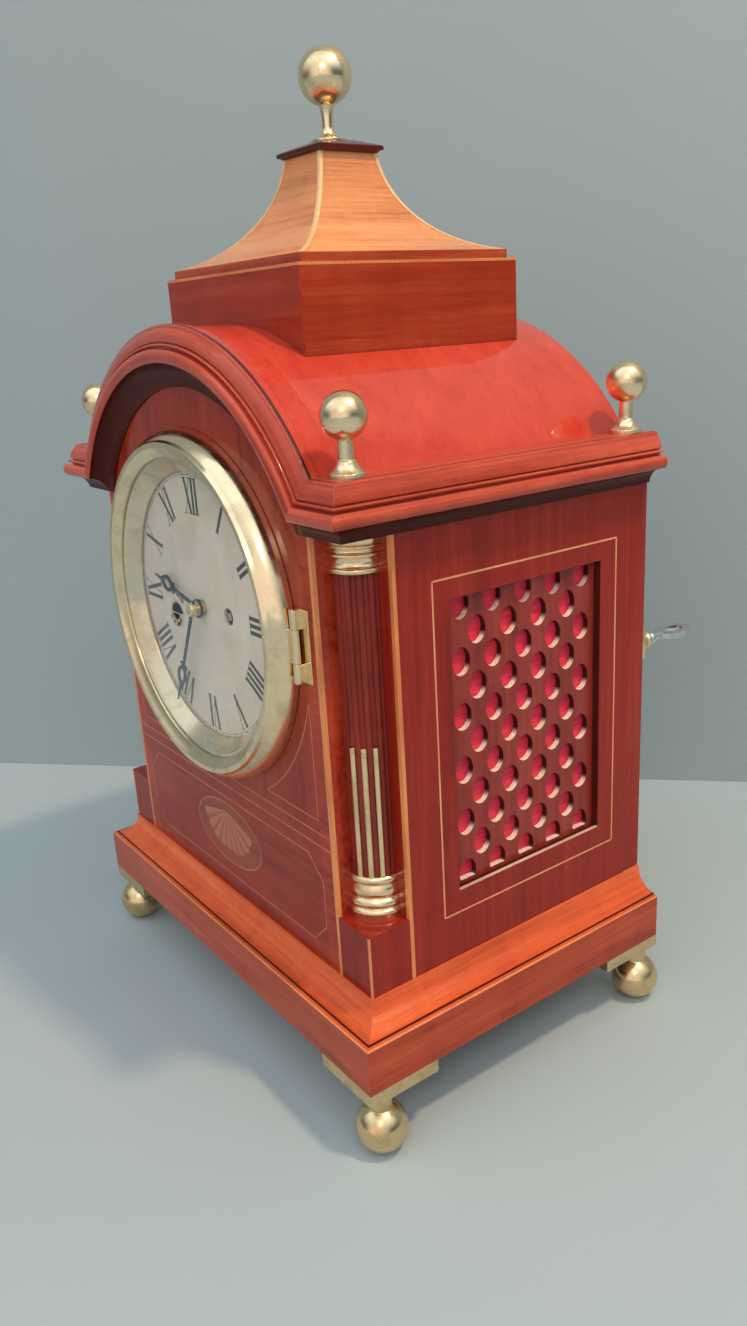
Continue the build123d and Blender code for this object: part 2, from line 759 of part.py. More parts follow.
def hand(length, tail, boss_r, bore_r, y0, y1, clock_angle):
    """Tapered hand with a cross bar and a pierced leaf, turned clockwise from twelve."""
    leaf = length * 0.72
    bar = leaf - 9.0
    blade = face_xz(
        (-1.1, 0),
        (-0.8, bar),
        (-3.4, bar),
        (-3.4, bar + 1.2),
        (-0.8, bar + 1.2),
        ((-4.8, leaf - 1.0), (-0.9, leaf + 7.0)),
        (-0.3, length),
        (0.3, length),
        (0.9, leaf + 7.0),
        ((4.8, leaf - 1.0), (0.8, bar + 1.2)),
        (3.4, bar + 1.2),
        (3.4, bar),
        (0.8, bar),
        (1.1, 0),
        (0.8, -tail),
        (-0.8, -tail),
    )
    foot = (0, leaf - 5.2)
    piercing = face_xz(foot, ((-2.9, leaf - 0.8), (0, leaf + 4.2)), ((2.9, leaf - 0.8), foot))
    middle = (y0 + y1) / 2
    flat = slab(blade - piercing, middle - 0.5, middle + 0.5) + rod_y((0, 0), boss_r, y0, y1)
    flat = flat - rod_y((0, 0), bore_r, y0 - 1, y1 + 1)
    return Pos(0, 0, DIAL_Z) * Rot(0, clock_angle, 0) * flat


def hour_hand():
    return hand(HOUR_HAND, 5.0, 5.5, 3.6, BODY_FRONT - 3.4, BODY_FRONT - 2.0, HOUR_ANGLE)


def minute_hand():
    """Minute hand with the domed brass collet that holds it."""
    f = BODY_FRONT
    blade = hand(MINUTE_HAND, 6.0, 4.2, 2.5, f - 7.2, f - 5.6, MINUTE_ANGLE)
    collet = turned_y(CENTRE, (1.5, f - 7.2), (4.0, f - 7.2), ((3.4, f - 8.4), (1.5, f - 8.8)))
    return blade + collet


# Movement


def gear(teeth, module, phase, centre, y0, y1, tooth=0.4):
    """Toothed disc with a tooth at the phase angle; tooth is its width as a share of the pitch."""
    pitch_r = teeth * module / 2
    root = pitch_r - 1.25 * module
    tip = pitch_r + 0.9 * module
    pitch = 2 * math.pi / teeth
    flank = [(root, -0.62), (pitch_r, -0.5), (tip, -0.2), (tip, 0.2), (pitch_r, 0.5), (root, 0.62)]
    points = []
    for i in range(teeth):
        angle = math.radians(phase) + i * pitch
        for r, share in flank:
            a = angle + share * tooth * pitch
            points.append((r * math.cos(a), r * math.sin(a)))
    return Pos(centre[0], 0, centre[1]) * slab(face_xz(*points), y0, y1)


def gap_phase(angle, teeth):
    """Phase that puts a gap, not a tooth, at an angle."""
    return angle + 180 / teeth


ARBORS = [
    (CENTRE, 1.5),
    (GOING, 3.0),
    (STRIKE, 3.0),
    (THIRD, 1.2),
    (ESCAPE, 1.2),
    (ANCHOR, 1.5),
    (PIN, 1.5),
    (HAMMER, 1.5),
    (GOING_BARREL, 3.0),
    (STRIKE_BARREL, 3.0),
]


def pierced_plate(y0, y1):
    plate = box(-PLATE_HALF, PLATE_HALF, y0, y1, PLATE_Z0, PLATE_Z1)
    for centre, r in ARBORS:
        plate = plate - rod_y(centre, r + RUN, y0 - 1, y1 + 1)
    return plate


def front_plate():
    """Front plate with the stud that the minute wheel turns on."""
    return pierced_plate(PLATE_Y0, PLATE_Y1) + rod_y(MINUTE, 1.5, PLATE_Y0 - 9.4, PLATE_Y0 + 1.0)


def back_plate():
    return pierced_plate(BACK_PLATE_Y0, BACK_PLATE_Y1)


def movement_pillars():
    """Pillars between the plates, and the feet that carry the dial."""
    rods = []
    for x, z in ((-64, 190), (64, 190), (0, 190), (-66, 300), (66, 300)):
        rods.append(rod_y((x, z), 4.0, PLATE_Y1, BACK_PLATE_Y0))
    for x in (-58, 58):
        for dz in (-40, 40):
            rods.append(rod_y((x, DIAL_Z + dz), 2.5, DIAL_Y + DIAL_T, PLATE_Y0))
    return group(rods)


def seat_board():
    y0 = NOTCH_Y + PANEL_T
    return box(-INNER_X, INNER_X, y0, BACK_PLATE_Y1 + 2.0, PLATE_Z0 - SEAT_T, PLATE_Z0)


def fusee(centre, phase, wheel_y):
    """Great wheel, grooved cone, arbor and winding square."""
    wheel = gear(GREAT_TEETH, GREAT_M, phase, centre, wheel_y, wheel_y + GREAT_T)
    grooves = 8
    cone_y0 = wheel_y + 6.0
    cone_y1 = PLATE_Y1 + 41.0
    step = (cone_y1 - cone_y0) / grooves
    steps = []
    for i in range(grooves):
        r = 19.5 - 1.3 * i
        y0 = cone_y0 + i * step
        steps += [(r, y0), ((r - 0.9, y0 + step / 2), (r - 0.6, y0 + step - 0.4))]
    cone = turned_y(centre, (0, cone_y0), *steps, (0, cone_y1))
    arbor = rod_y(centre, 3.0, PLATE_Y0 - 13.0, BACK_PLATE_Y1)
    square = box(-2.0, 2.0, DIAL_Y + 0.5, PLATE_Y0 - 12.0, -2.0, 2.0)
    return wheel + cone + arbor + Pos(centre[0], 0, centre[1]) * square


def going_fusee():
    return fusee(GOING, direction(GOING, CENTRE), GOING_GREAT_Y)


def strike_fusee():
    return fusee(STRIKE, direction(STRIKE, PIN), STRIKE_GREAT_Y)


def barrel(centre):
    y0 = PLATE_Y1 + 11.0
    y1 = y0 + 36.0
    drum = turned_y(
        centre,
        (3.0, y0 + 1.5),
        (BARREL_R - 2.0, y0 + 1.5),
        (BARREL_R - 2.0, y0),
        (BARREL_R, y0),
        (BARREL_R, y1),
        (BARREL_R - 2.0, y1),
        (BARREL_R - 2.0, y1 - 1.5),
        (3.0, y1 - 1.5),
    )
    return drum + rod_y(centre, 3.0, PLATE_Y0, BACK_PLATE_Y1)


def fusee_chains():
    """Straight run of chain from each fusee to its barrel."""
    y = PLATE_Y1 + 20.0
    top = (GOING[0] + 20.2, GOING[1])
    end = (GOING_BARREL[0] + BARREL_R + 1.2, GOING_BARREL[1])
    length = math.dist(top, end)
    run = box(-0.5, 0.5, y - 0.8, y + 0.8, -length / 2, length / 2)
    lean = math.degrees(math.atan2(top[0] - end[0], top[1] - end[1]))
    run = Pos((top[0] + end[0]) / 2 + 0.6, 0, (top[1] + end[1]) / 2) * Rot(0, lean, 0) * run
    return group([run, mirrored(run)])


def centre_wheel():
    y = PLATE_Y1
    arbor = rod_y(CENTRE, 1.5, BODY_FRONT - 9.6, BACK_PLATE_Y1)
    phase = gap_phase(direction(CENTRE, GOING), PINION_LEAVES)
    pinion_y = GOING_GREAT_Y - 1.0
    pinion = gear(PINION_LEAVES, GREAT_M, phase, CENTRE, pinion_y, pinion_y + PINION_T)
    wheel = gear(CENTRE_TEETH, CENTRE_M, direction(CENTRE, THIRD), CENTRE, y + 44.0, y + 45.6)
    return arbor + pinion + wheel


def third_wheel():
    y = PLATE_Y1
    arbor = rod_y(THIRD, 1.2, PLATE_Y0, BACK_PLATE_Y1)
    phase = gap_phase(direction(THIRD, CENTRE), UPPER_LEAVES)
    pinion = gear(UPPER_LEAVES, CENTRE_M, phase, THIRD, y + 43.0, y + 46.6)
    wheel = gear(THIRD_TEETH, THIRD_M, direction(THIRD, ESCAPE), THIRD, y + 50.0, y + 51.4)
    return arbor + pinion + wheel


def escape_wheel():
    y = PLATE_Y1
    arbor = rod_y(ESCAPE, 1.2, PLATE_Y0, BACK_PLATE_Y1)
    phase = gap_phase(direction(ESCAPE, THIRD), UPPER_LEAVES)
    pinion = gear(UPPER_LEAVES, THIRD_M, phase, ESCAPE, y + 49.0, y + 52.4)
    points = []
    for i in range(ESCAPE_TEETH):
        for r, share in ((12.4, 0.0), (ESCAPE_R, 0.30), (ESCAPE_R, 0.36), (12.4, 0.62)):
            a = 2 * math.pi * (i + share) / ESCAPE_TEETH
            points.append((r * math.cos(a), r * math.sin(a)))
    wheel = Pos(ESCAPE[0], 0, ESCAPE[1]) * slab(face_xz(*points), y + 55.0, y + 56.4)
    return arbor + pinion + wheel


def pallet_anchor():
    """Anchor, its arbor and the crutch that drives the pendulum."""
    y = PLATE_Y1
    arbor = rod_y((0, 0), 1.5, PLATE_Y0, BACK_PLATE_Y1 + 3.0)
    arms = face_xz(
        (-2.5, 3.0),
        (2.5, 3.0),
        (16.0, -5.5),
        (14.4, -11.0),
        (12.8, -10.0),
        (12.8, -7.0),
        (0, -3.0),
        (-12.8, -7.0),
        (-12.8, -10.0),
        (-14.4, -11.0),
        (-16.0, -5.5),
    )
    crutch = box(-2.0, 2.0, BACK_PLATE_Y1 + 1.5, BACK_PLATE_Y1 + 3.0, -40.0, 2.5)
    fork = box(-3.2, 3.2, BACK_PLATE_Y1 + 1.5, PENDULUM_Y + 3.0, -41.0, -38.0)
    slot = box(-1.8, 1.8, PENDULUM_Y - 3.0, PENDULUM_Y + 4.0, -42.0, -37.0)
    whole = arbor + slab(arms, y + 54.0, y + 57.4) + crutch + (fork - slot)
    return Pos(ANCHOR[0], 0, ANCHOR[1]) * whole


def pendulum():
    """Rod, lens-shaped bob and rating nut, hung from an eye on the cock."""
    y = PENDULUM_Y
    eye = rod_y(ANCHOR, 3.2, y - 1.0, y + 1.0) - rod_y(ANCHOR, 1.2 + RUN, y - 2.0, y + 2.0)
    rod = rod_z(0, y, 1.5, BOB_Z - BOB_R - 6.0, ANCHOR[1] - 2.4)
    front = ((BOB_R * 0.6, y - 4.4), (BOB_R, y))
    back = ((BOB_R * 0.6, y + 4.4), (0, y + 6.0))
    bob = turned_y((0, BOB_Z), (0, y - 6.0), front, back)
    nut = rod_z(0, y, 4.0, BOB_Z - BOB_R - 5.0, BOB_Z - BOB_R - 2.0)
    return eye + rod + bob + nut


def pendulum_cock():
    y = BACK_PLATE_Y1
    z = ANCHOR[1]
    foot = box(-10.0, 10.0, y, y + 3.0, z + 5.0, z + 14.0)
    arm = box(-6.0, 6.0, y, PENDULUM_Y + 6.0, z + 6.5, z + 10.5)
    post = box(-3.0, 3.0, PENDULUM_Y + 3.0, PENDULUM_Y + 6.0, z - 2.0, z + 7.0)
    pin = rod_y(ANCHOR, 1.2, PENDULUM_Y - 1.8, PENDULUM_Y + 4.0)
    return foot + arm + post + pin


def cannon_pinion():
    y0 = PLATE_Y0 - 4.6
    y1 = PLATE_Y0 - 1.4
    pipe = rod_y(CENTRE, 2.5, BODY_FRONT - 7.2, y1)
    phase = gap_phase(direction(CENTRE, MINUTE), CANNON_TEETH)
    teeth = gear(CANNON_TEETH, MINUTE_M, phase, CENTRE, y0, y1)
    return pipe + teeth - rod_y(CENTRE, 1.5, BODY_FRONT - 10.0, y1 + 1)


def minute_wheel():
    y = PLATE_Y0
    wheel = gear(MINUTE_TEETH, MINUTE_M, direction(MINUTE, CENTRE), MINUTE, y - 4.0, y - 2.0)
    phase = gap_phase(direction(MINUTE, CENTRE), MINUTE_LEAVES)
    pinion = gear(MINUTE_LEAVES, HOUR_M, phase, MINUTE, y - 8.5, y - 3.8)
    return wheel + pinion - rod_y(MINUTE, 1.5 + RUN, y - 10.0, y)


def hour_wheel():
    y = PLATE_Y0
    wheel = gear(HOUR_TEETH, HOUR_M, direction(CENTRE, MINUTE), CENTRE, y - 8.0, y - 6.0)
    pipe = rod_y(CENTRE, 3.6, BODY_FRONT - 3.6, y - 7.0)
    return wheel + pipe - rod_y(CENTRE, 2.5 + RUN, BODY_FRONT - 5.0, y)


def pin_wheel():
    """Wheel whose pins lift the hammer tail."""
    y = PLATE_Y1
    arbor = rod_y(PIN, 1.5, PLATE_Y0, BACK_PLATE_Y1)
    phase = gap_phase(direction(PIN, STRIKE), PINION_LEAVES)
    pinion_y = STRIKE_GREAT_Y - 1.0
    wheel = arbor + gear(PINION_LEAVES, GREAT_M, phase, PIN, pinion_y, pinion_y + PINION_T)
    wheel = wheel + gear(64, 0.5, 0, PIN, y + 44.0, y + 45.6)
    for i in range(8):
        a = math.radians(45 * i)
        place = (PIN[0] + 12.0 * math.cos(a), PIN[1] + 12.0 * math.sin(a))
        wheel = wheel + rod_y(place, 0.8, y + 45.0, y + 50.0)
    return wheel


def bell():
    z = BELL_Z
    return turned_z(
        0,
        BELL_Y,
        (3.0, z + 24.0),
        (8.0, z + 24.0),
        ((BELL_R * 0.8, z + 16.0), (BELL_R, z)),
        (BELL_R - 2.4, z),
        ((BELL_R * 0.8 - 2.6, z + 13.8), (8.0, z + 21.0)),
        (3.0, z + 21.0),
    )


def bell_stand():
    bar = box(-5.0, 5.0, PLATE_Y0, BACK_PLATE_Y1, PLATE_Z1, PLATE_Z1 + 3.0)
    post = rod_z(0, BELL_Y, 3.0, PLATE_Z1 + 2.0, BELL_Z + 24.0)
    seat = rod_z(0, BELL_Y, 6.0, BELL_Z + 18.0, BELL_Z + 21.0)
    nut = rod_z(0, BELL_Y, 6.0, BELL_Z + 24.0, BELL_Z + 28.0)
    return bar + post + seat + nut


def hammer():
    """Hammer arbor, the tail that the pins lift, and the head beside the bell's rim."""
    x, z = HAMMER
    arbor = rod_y(HAMMER, 1.5, PLATE_Y0, BACK_PLATE_Y1)
    hub = rod_y(HAMMER, 3.0, BELL_Y - 2.5, BELL_Y + 2.5)
    head_z = BELL_Z + 3.0
    arm = box(x - 1.2, x + 1.2, BELL_Y - 2.0, BELL_Y + 2.0, z, head_z)
    head = Pos(x + 6.0, BELL_Y, head_z) * Rot(0, 90, 0) * Cylinder(4.5, 18.0)
    tail = box(x - 1.0, x + 1.0, PLATE_Y1 + 46.5, PLATE_Y1 + 49.0, z - 16.0, z)
    tail_hub = rod_y(HAMMER, 3.0, PLATE_Y1 + 46.0, PLATE_Y1 + 49.5)
    return arbor + hub + arm + head + tail + tail_hub


PARTS = {
    "plinth_moulding": plinth_moulding(),
    "base_board": base_board(),
    "foot_plates": foot_plates(),
    "ball_feet": ball_feet(),
    "front_panel": front_panel(),
    "side_panel_right": side_panel_right(),
    "side_panel_left": mirrored(side_panel_right()),
    "fret_right": fret_right(),
    "fret_left": mirrored(fret_right()),
    "silk_right": silk_right(),
    "silk_left": mirrored(silk_right()),
    "corner_pedestals": corner_pedestals(),
    "columns": columns(),
    "column_brasses": column_brasses(),
    "front_cornice": front_cornice(),
    "side_cornices": side_cornices(),
    "roof_barrel": roof_barrel(),
    "back_arch": back_arch(),
    "top_box": top_box(),
    "pagoda_roof": pagoda_roof(),
    "pagoda_cap": pagoda_cap(),
    "top_finial": top_finial(),
    "corner_finials": corner_finials(),
    "back_door": back_door(),
    "door_glass": door_glass(),
    "case_hinge_leaves": case_hinge_leaves(),
    "door_hinge_leaves": door_hinge_leaves(),
    "door_lock": door_lock(),
    "lock_bolt": lock_bolt(),
    "lock_staple": lock_staple(),
    "lock_escutcheon": lock_escutcheon(),
    "door_key": door_key(),
    "bezel": bezel(),
    "bezel_glass": bezel_glass(),
    "bezel_hinge": bezel_hinge(),
    "dial": dial(),
    "hour_hand": hour_hand(),
    "minute_hand": minute_hand(),
    "seat_board": seat_board(),
    "front_plate": front_plate(),
    "back_plate": back_plate(),
    "movement_pillars": movement_pillars(),
    "going_fusee": going_fusee(),
    "going_barrel": barrel(GOING_BARREL),
    "strike_fusee": strike_fusee(),
    "strike_barrel": barrel(STRIKE_BARREL),
    "fusee_chains": fusee_chains(),
    "centre_wheel": centre_wheel(),
    "third_wheel": third_wheel(),
    "escape_wheel": escape_wheel(),
    "pallet_anchor": pallet_anchor(),
    "pendulum": pendulum(),
    "pendulum_cock": pendulum_cock(),
    "cannon_pinion": cannon_pinion(),
    "minute_wheel": minute_wheel(),
    "hour_wheel": hour_wheel(),
    "pin_wheel": pin_wheel(),
    "bell": bell(),
    "bell_stand": bell_stand(),
    "hammer": hammer(),
}

os.makedirs("parts", exist_ok=True)
for name, shape in PARTS.items():
    export_step(shape, f"parts/{name}.step")
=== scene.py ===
import math

import bmesh
import bpy
from mathutils import Matrix, Vector


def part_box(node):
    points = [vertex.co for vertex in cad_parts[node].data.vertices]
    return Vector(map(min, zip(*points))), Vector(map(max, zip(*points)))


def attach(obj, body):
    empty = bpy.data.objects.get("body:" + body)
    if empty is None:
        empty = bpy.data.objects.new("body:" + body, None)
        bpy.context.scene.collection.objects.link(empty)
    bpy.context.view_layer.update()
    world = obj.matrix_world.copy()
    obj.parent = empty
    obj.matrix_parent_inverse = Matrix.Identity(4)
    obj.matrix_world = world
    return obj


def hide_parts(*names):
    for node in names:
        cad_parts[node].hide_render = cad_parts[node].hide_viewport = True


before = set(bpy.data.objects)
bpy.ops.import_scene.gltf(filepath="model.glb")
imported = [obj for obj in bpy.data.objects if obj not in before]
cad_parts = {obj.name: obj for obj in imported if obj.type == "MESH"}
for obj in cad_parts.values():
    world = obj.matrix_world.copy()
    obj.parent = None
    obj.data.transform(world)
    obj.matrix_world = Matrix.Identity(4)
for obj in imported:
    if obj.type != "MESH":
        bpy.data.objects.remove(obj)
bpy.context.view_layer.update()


# Ball feet and corner plates: turned brass balls under cast brass plates that are screwed below the
# plinth. The brass is polished, pale and a little tarnished, brighter where hands rub its edges.

FLAT_COSINE = 0.995
RUBBED_COSINE = 0.86
RUBBED_GAIN = 1.12
BRASS_ARRIS = 0.0006
SCRATCH_DEEP = 0.000004
FOOT_BRASS = ((0.80, 0.58, 0.32, 1), (0.45, 0.30, 0.13, 1))


def feed(tree, socket, value):
    """Links an output to a socket, or sets a plain value on it."""
    if isinstance(value, bpy.types.NodeSocket):
        tree.links.new(value, socket)
    else:
        socket.default_value = value


def feed_all(tree, node, values):
    """Feeds the inputs of a node by their labels."""
    for label, value in values.items():
        feed(tree, node.inputs[label], value)


def calc(tree, operation, *values):
    """Result of a Math node."""
    node = tree.nodes.new("ShaderNodeMath")
    node.operation = operation
    for socket, value in zip(node.inputs, values):
        feed(tree, socket, value)
    return node.outputs[0]


def vector_calc(tree, operation, first, second):
    """Outputs of a Vector Math node."""
    node = tree.nodes.new("ShaderNodeVectorMath")
    node.operation = operation
    feed(tree, node.inputs[0], first)
    feed(tree, node.inputs[1], second)
    return node.outputs


def rise(tree, value, low, high, start=0.0, end=1.0):
    """Smooth step from start to end as the value goes from low to high."""
    node = tree.nodes.new("ShaderNodeMapRange")
    node.interpolation_type = "SMOOTHSTEP"
    limits = {"From Min": low, "From Max": high, "To Min": start, "To Max": end}
    feed_all(tree, node, {"Value": value, **limits})
    return node.outputs[0]


def tint(tree, share, first, second):
    """Mix of two colours."""
    node = tree.nodes.new("ShaderNodeMix")
    node.data_type = "RGBA"
    for number, value in ((0, share), (6, first), (7, second)):
        feed(tree, node.inputs[number], value)
    return node.outputs[2]


def noise(tree, vector, per_metre, detail=4.0, distortion=0.0):
    """Noise with that many blotches to the metre, one number or one for each axis."""
    node = tree.nodes.new("ShaderNodeTexNoise")
    counts = per_metre if isinstance(per_metre, tuple) else (per_metre,) * 3
    place = vector_calc(tree, "MULTIPLY", vector, counts)["Vector"]
    form = {"Scale": 1.0, "Detail": detail, "Distortion": distortion}
    feed_all(tree, node, {"Vector": place, **form})
    return node.outputs[0]


def new_group(name, inputs, outputs):
    """New shader group, with its tree, the sockets that it is given and its output node."""
    tree = bpy.data.node_groups.new(name, "ShaderNodeTree")
    for way, sockets in (("INPUT", inputs), ("OUTPUT", outputs)):
        for label, kind in sockets.items():
            tree.interface.new_socket(label, in_out=way, socket_type="NodeSocket" + kind)
    given = tree.nodes.new("NodeGroupInput").outputs
    return tree, given, tree.nodes.new("NodeGroupOutput")


def use_group(tree, group, **values):
    """Places a shader group in a tree with its own values, and gives its outputs."""
    node = tree.nodes.new("ShaderNodeGroup")
    node.node_tree = group
    feed_all(tree, node, values)
    return node.outputs


def new_material(name):
    """New material, with its node tree, its Principled shader and its Object coordinates."""
    material = bpy.data.materials.new(name)
    material.use_nodes = True
    tree = material.node_tree
    place = tree.nodes.new("ShaderNodeTexCoord").outputs["Object"]
    return material, tree, tree.nodes["Principled BSDF"], place


def raise_surface(tree, shader, height, distance, normal=None):
    """Bump of that many metres on the shader's normal."""
    node = tree.nodes.new("ShaderNodeBump")
    feed_all(tree, node, {"Strength": 1.0, "Distance": distance, "Height": height})
    if normal is not None:
        tree.links.new(normal, node.inputs["Normal"])
    tree.links.new(node.outputs["Normal"], shader.inputs["Normal"])


def rubbed_edges():
    """Mask of the arrises, with the softened normal that a worn arris has."""
    tree, given, out = new_group(
        "rubbed_edges", {"Width": "Float"}, {"Edge": "Float", "Normal": "Vector"}
    )
    bevel = tree.nodes.new("ShaderNodeBevel")
    bevel.samples = 6
    tree.links.new(given["Width"], bevel.inputs["Radius"])
    soft = bevel.outputs["Normal"]
    flat = tree.nodes.new("ShaderNodeNewGeometry").outputs["Normal"]
    turn = vector_calc(tree, "DOT_PRODUCT", soft, flat)["Value"]
    feed_all(tree, out, {"Edge": rise(tree, turn, FLAT_COSINE, RUBBED_COSINE), "Normal": soft})
    return tree


def aged_brass():
    """Smudged and tarnished brass."""
    tree, given, out = new_group(
        "aged_brass",
        {"Vector": "Vector", "Bright": "Color", "Tarnish": "Color", "Age": "Float"},
        {"Color": "Color", "Smudge": "Float", "Scratch": "Float"},
    )
    cloud = noise(tree, given["Vector"], 70, 6.0, 0.6)
    speck = noise(tree, given["Vector"], 900, 3.0)
    blotch = calc(tree, "MULTIPLY_ADD", speck, 0.35, cloud)
    spot = calc(tree, "MULTIPLY", rise(tree, blotch, 0.62, 0.86), given["Age"])
    colour = tint(tree, spot, given["Bright"], given["Tarnish"])
    scratch = noise(tree, given["Vector"], (2600, 2600, 300), 2.0)
    feed_all(tree, out, {"Color": colour, "Smudge": cloud, "Scratch": scratch})
    return tree


arris_wear = rubbed_edges()
brass_age = aged_brass()


def brass(name, bright, tarnish, age, gloss, edge=BRASS_ARRIS):
    """Polished brass, tarnished by its age and rubbed brighter along its edges."""
    material, tree, shader, place = new_material(name)
    worn = use_group(tree, arris_wear, Width=edge)
    metal = use_group(tree, brass_age, Vector=place, Bright=bright, Tarnish=tarnish, Age=age)
    rubbed = tuple(min(1.0, RUBBED_GAIN * c) for c in bright[:3]) + (1,)
    colour = tint(tree, worn["Edge"], metal["Color"], rubbed)
    roughness = rise(tree, metal["Smudge"], 0.3, 0.75, gloss, gloss + 0.2)
    feed_all(tree, shader, {"Base Color": colour, "Roughness": roughness, "Metallic": 1.0})
    raise_surface(tree, shader, metal["Scratch"], SCRATCH_DEEP, worn["Normal"])
    return material


def dress(material, *nodes):
    """Gives CAD nodes a finish in place of their plain one."""
    for node in nodes:
        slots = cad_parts[node].data.materials
        slots.clear()
        slots.append(material)


dress(brass("foot_brass", *FOOT_BRASS, age=0.5, gloss=0.16), "ball_feet", "foot_plates")


# Plinth: four lengths of moulded mahogany, mitred at the corners round a plain base board.
# The grain runs along each length under a deep French polish. The hollow is painted brighter than
# the board as a lit copy of the same mahogany, the little step between them is painted dark as
# shade, and a pale line along the board's top arris is a painted highlight.

PLINTH_RUN = (0.161, 0.120, -0.0154)
PLINTH_LINE_Z = 0.0701
PLINTH_STEP_Z = (0.0707, 0.0717)
WOOD_ARRIS = 0.0007
ARRIS_PALE = 0.45
WOOD_COAT = 0.45
PORE_COAT = 0.15
PORE_DEEP = 0.00002
PLAIN_WOODS = ((0.16, 0.075, 0.035, 1), (0.30, 0.16, 0.08, 1), (0.42, 0.25, 0.13, 1))
BOARD_WOODS = ((0.30, 0.036, 0.014, 1), (0.46, 0.060, 0.022, 1), (0.64, 0.115, 0.040, 1))
# The hollow's tones: the board's mahogany painted brighter, as lit from above.
PAINTED_LIGHT_HOLLOW_WOODS = ((0.50, 0.072, 0.022, 1), (0.73, 0.112, 0.033, 1), (0.91, 0.19, 0.057, 1))
# Near-black tones painted as shade into steps, recesses, hollows and shadow lines.
PAINTED_SHADE_WOODS = ((0.045, 0.007, 0.004, 1), (0.080, 0.010, 0.006, 1), (0.12, 0.018, 0.011, 1))
GRAIN_TURNS = {"x": (0, 0, 0), "z": (0, math.pi / 2, 0)}


def axes(tree, vector):
    """X, Y and Z of a vector."""
    node = tree.nodes.new("ShaderNodeSeparateXYZ")
    tree.links.new(vector, node.inputs[0])
    return node.outputs


def joined(tree, *values):
    """Vector with those values for X, Y and Z."""
    node = tree.nodes.new("ShaderNodeCombineXYZ")
    for socket, value in zip(node.inputs, values):
        tree.links.new(value, socket)
    return node.outputs[0]


def either(tree, share, first, second):
    """Mix of two vectors."""
    node = tree.nodes.new("ShaderNodeMix")
    node.data_type = "VECTOR"
    for number, value in ((0, share), (4, first), (5, second)):
        tree.links.new(value, node.inputs[number])
    return node.outputs[1]


def mahogany_figure():
    """Ribbon, streak and pore of mahogany, with the grain along the vector's X."""
    tree, given, out = new_group(
        "mahogany_figure",
        {"Vector": "Vector", "Dark": "Color", "Mid": "Color", "Light": "Color"},
        {"Color": "Color", "Pores": "Float", "Tone": "Float"},
    )
    vector = given["Vector"]
    ribbon = noise(tree, vector, (3.5, 34, 34), 3.0, 1.4)
    streak = noise(tree, vector, (9, 300, 300), 5.0, 0.5)
    flame = noise(tree, vector, (60, 9, 9), 2.0, 0.8)
    fine = noise(tree, vector, (40, 1500, 1500), 3.0)
    pores = rise(tree, noise(tree, vector, (110, 3200, 3200), 2.0), 0.58, 0.70)
    tone = calc(tree, "MULTIPLY_ADD", ribbon, 0.50, calc(tree, "MULTIPLY", streak, 0.42))
    tone = calc(tree, "MULTIPLY_ADD", flame, 0.16, tone)
    tone = calc(tree, "MULTIPLY_ADD", fine, 0.22, tone)
    lower = tint(tree, rise(tree, tone, 0.46, 0.66), given["Dark"], given["Mid"])
    body = tint(tree, rise(tree, tone, 0.62, 0.86), lower, given["Light"])
    colour = tint(tree, calc(tree, "MULTIPLY", pores, 0.55), body, given["Dark"])
    feed_all(tree, out, {"Color": colour, "Pores": pores, "Tone": tone})
    return tree


def mitred_run():
    """Turns the grain along each side of a four-sided moulding, with mitres at its corners."""
    tree, given, out = new_group(
        "mitred_run",
        {"Vector": "Vector", "Half Width": "Float", "Half Depth": "Float", "Middle": "Float"},
        {"Vector": "Vector"},
    )
    x, y, z = axes(tree, given["Vector"])
    side = calc(tree, "SUBTRACT", calc(tree, "ABSOLUTE", x), given["Half Width"])
    off_middle = calc(tree, "ABSOLUTE", calc(tree, "SUBTRACT", y, given["Middle"]))
    end = calc(tree, "SUBTRACT", off_middle, given["Half Depth"])
    on_side = calc(tree, "GREATER_THAN", side, end)
    turned = either(tree, on_side, given["Vector"], joined(tree, y, x, z))
    tree.links.new(turned, out.inputs["Vector"])
    return tree


grain = mahogany_figure()
mitres = mitred_run()


def grain_along(tree, place, axis):
    """Straight grain along an axis."""
    node = tree.nodes.new("ShaderNodeMapping")
    feed_all(tree, node, {"Vector": place, "Rotation": GRAIN_TURNS[axis]})
    return node.outputs[0]


def grain_round(tree, place, run):
    """Grain along each side of a case, from its half width, half depth and middle."""
    half_width, half_depth, middle = run
    sizes = {"Half Width": half_width, "Half Depth": half_depth, "Middle": middle}
    return use_group(tree, mitres, Vector=place, **sizes)["Vector"]


def polish(tree, shader, vector, woods, coat=WOOD_COAT):
    """Mahogany of dark, middle and light tones under French polish, its arrises rubbed paler."""
    dark, mid, light = woods
    worn = use_group(tree, arris_wear, Width=WOOD_ARRIS)
    wood = use_group(tree, grain, Vector=vector, Dark=dark, Mid=mid, Light=light)
    pale = calc(tree, "MULTIPLY", worn["Edge"], ARRIS_PALE)
    finish = {
        "Base Color": tint(tree, pale, wood["Color"], light),
        "Roughness": rise(tree, wood["Tone"], 0.4, 0.9, 0.34, 0.24),
        "Coat Weight": calc(tree, "MULTIPLY_ADD", wood["Pores"], -PORE_COAT, coat),
        "Coat Roughness": 0.06,
        "Specular IOR Level": 0.06,
    }
    feed_all(tree, shader, finish)
    sunk = calc(tree, "MULTIPLY", wood["Pores"], -1.0)
    raise_surface(tree, shader, sunk, PORE_DEEP, worn["Normal"])


def mahogany(name, run, woods, coat=WOOD_COAT):
    """Polished mahogany with straight grain along an axis, or mitred round a case of that size."""
    material, tree, shader, place = new_material(name)
    follow = grain_along if isinstance(run, str) else grain_round
    polish(tree, shader, follow(tree, place, run), woods, coat)
    return material


def overlaid(tree, mask, woods, others):
    """The other woods' tones where the mask is 1."""
    return [tint(tree, mask, wood, other) for wood, other in zip(woods, others)]


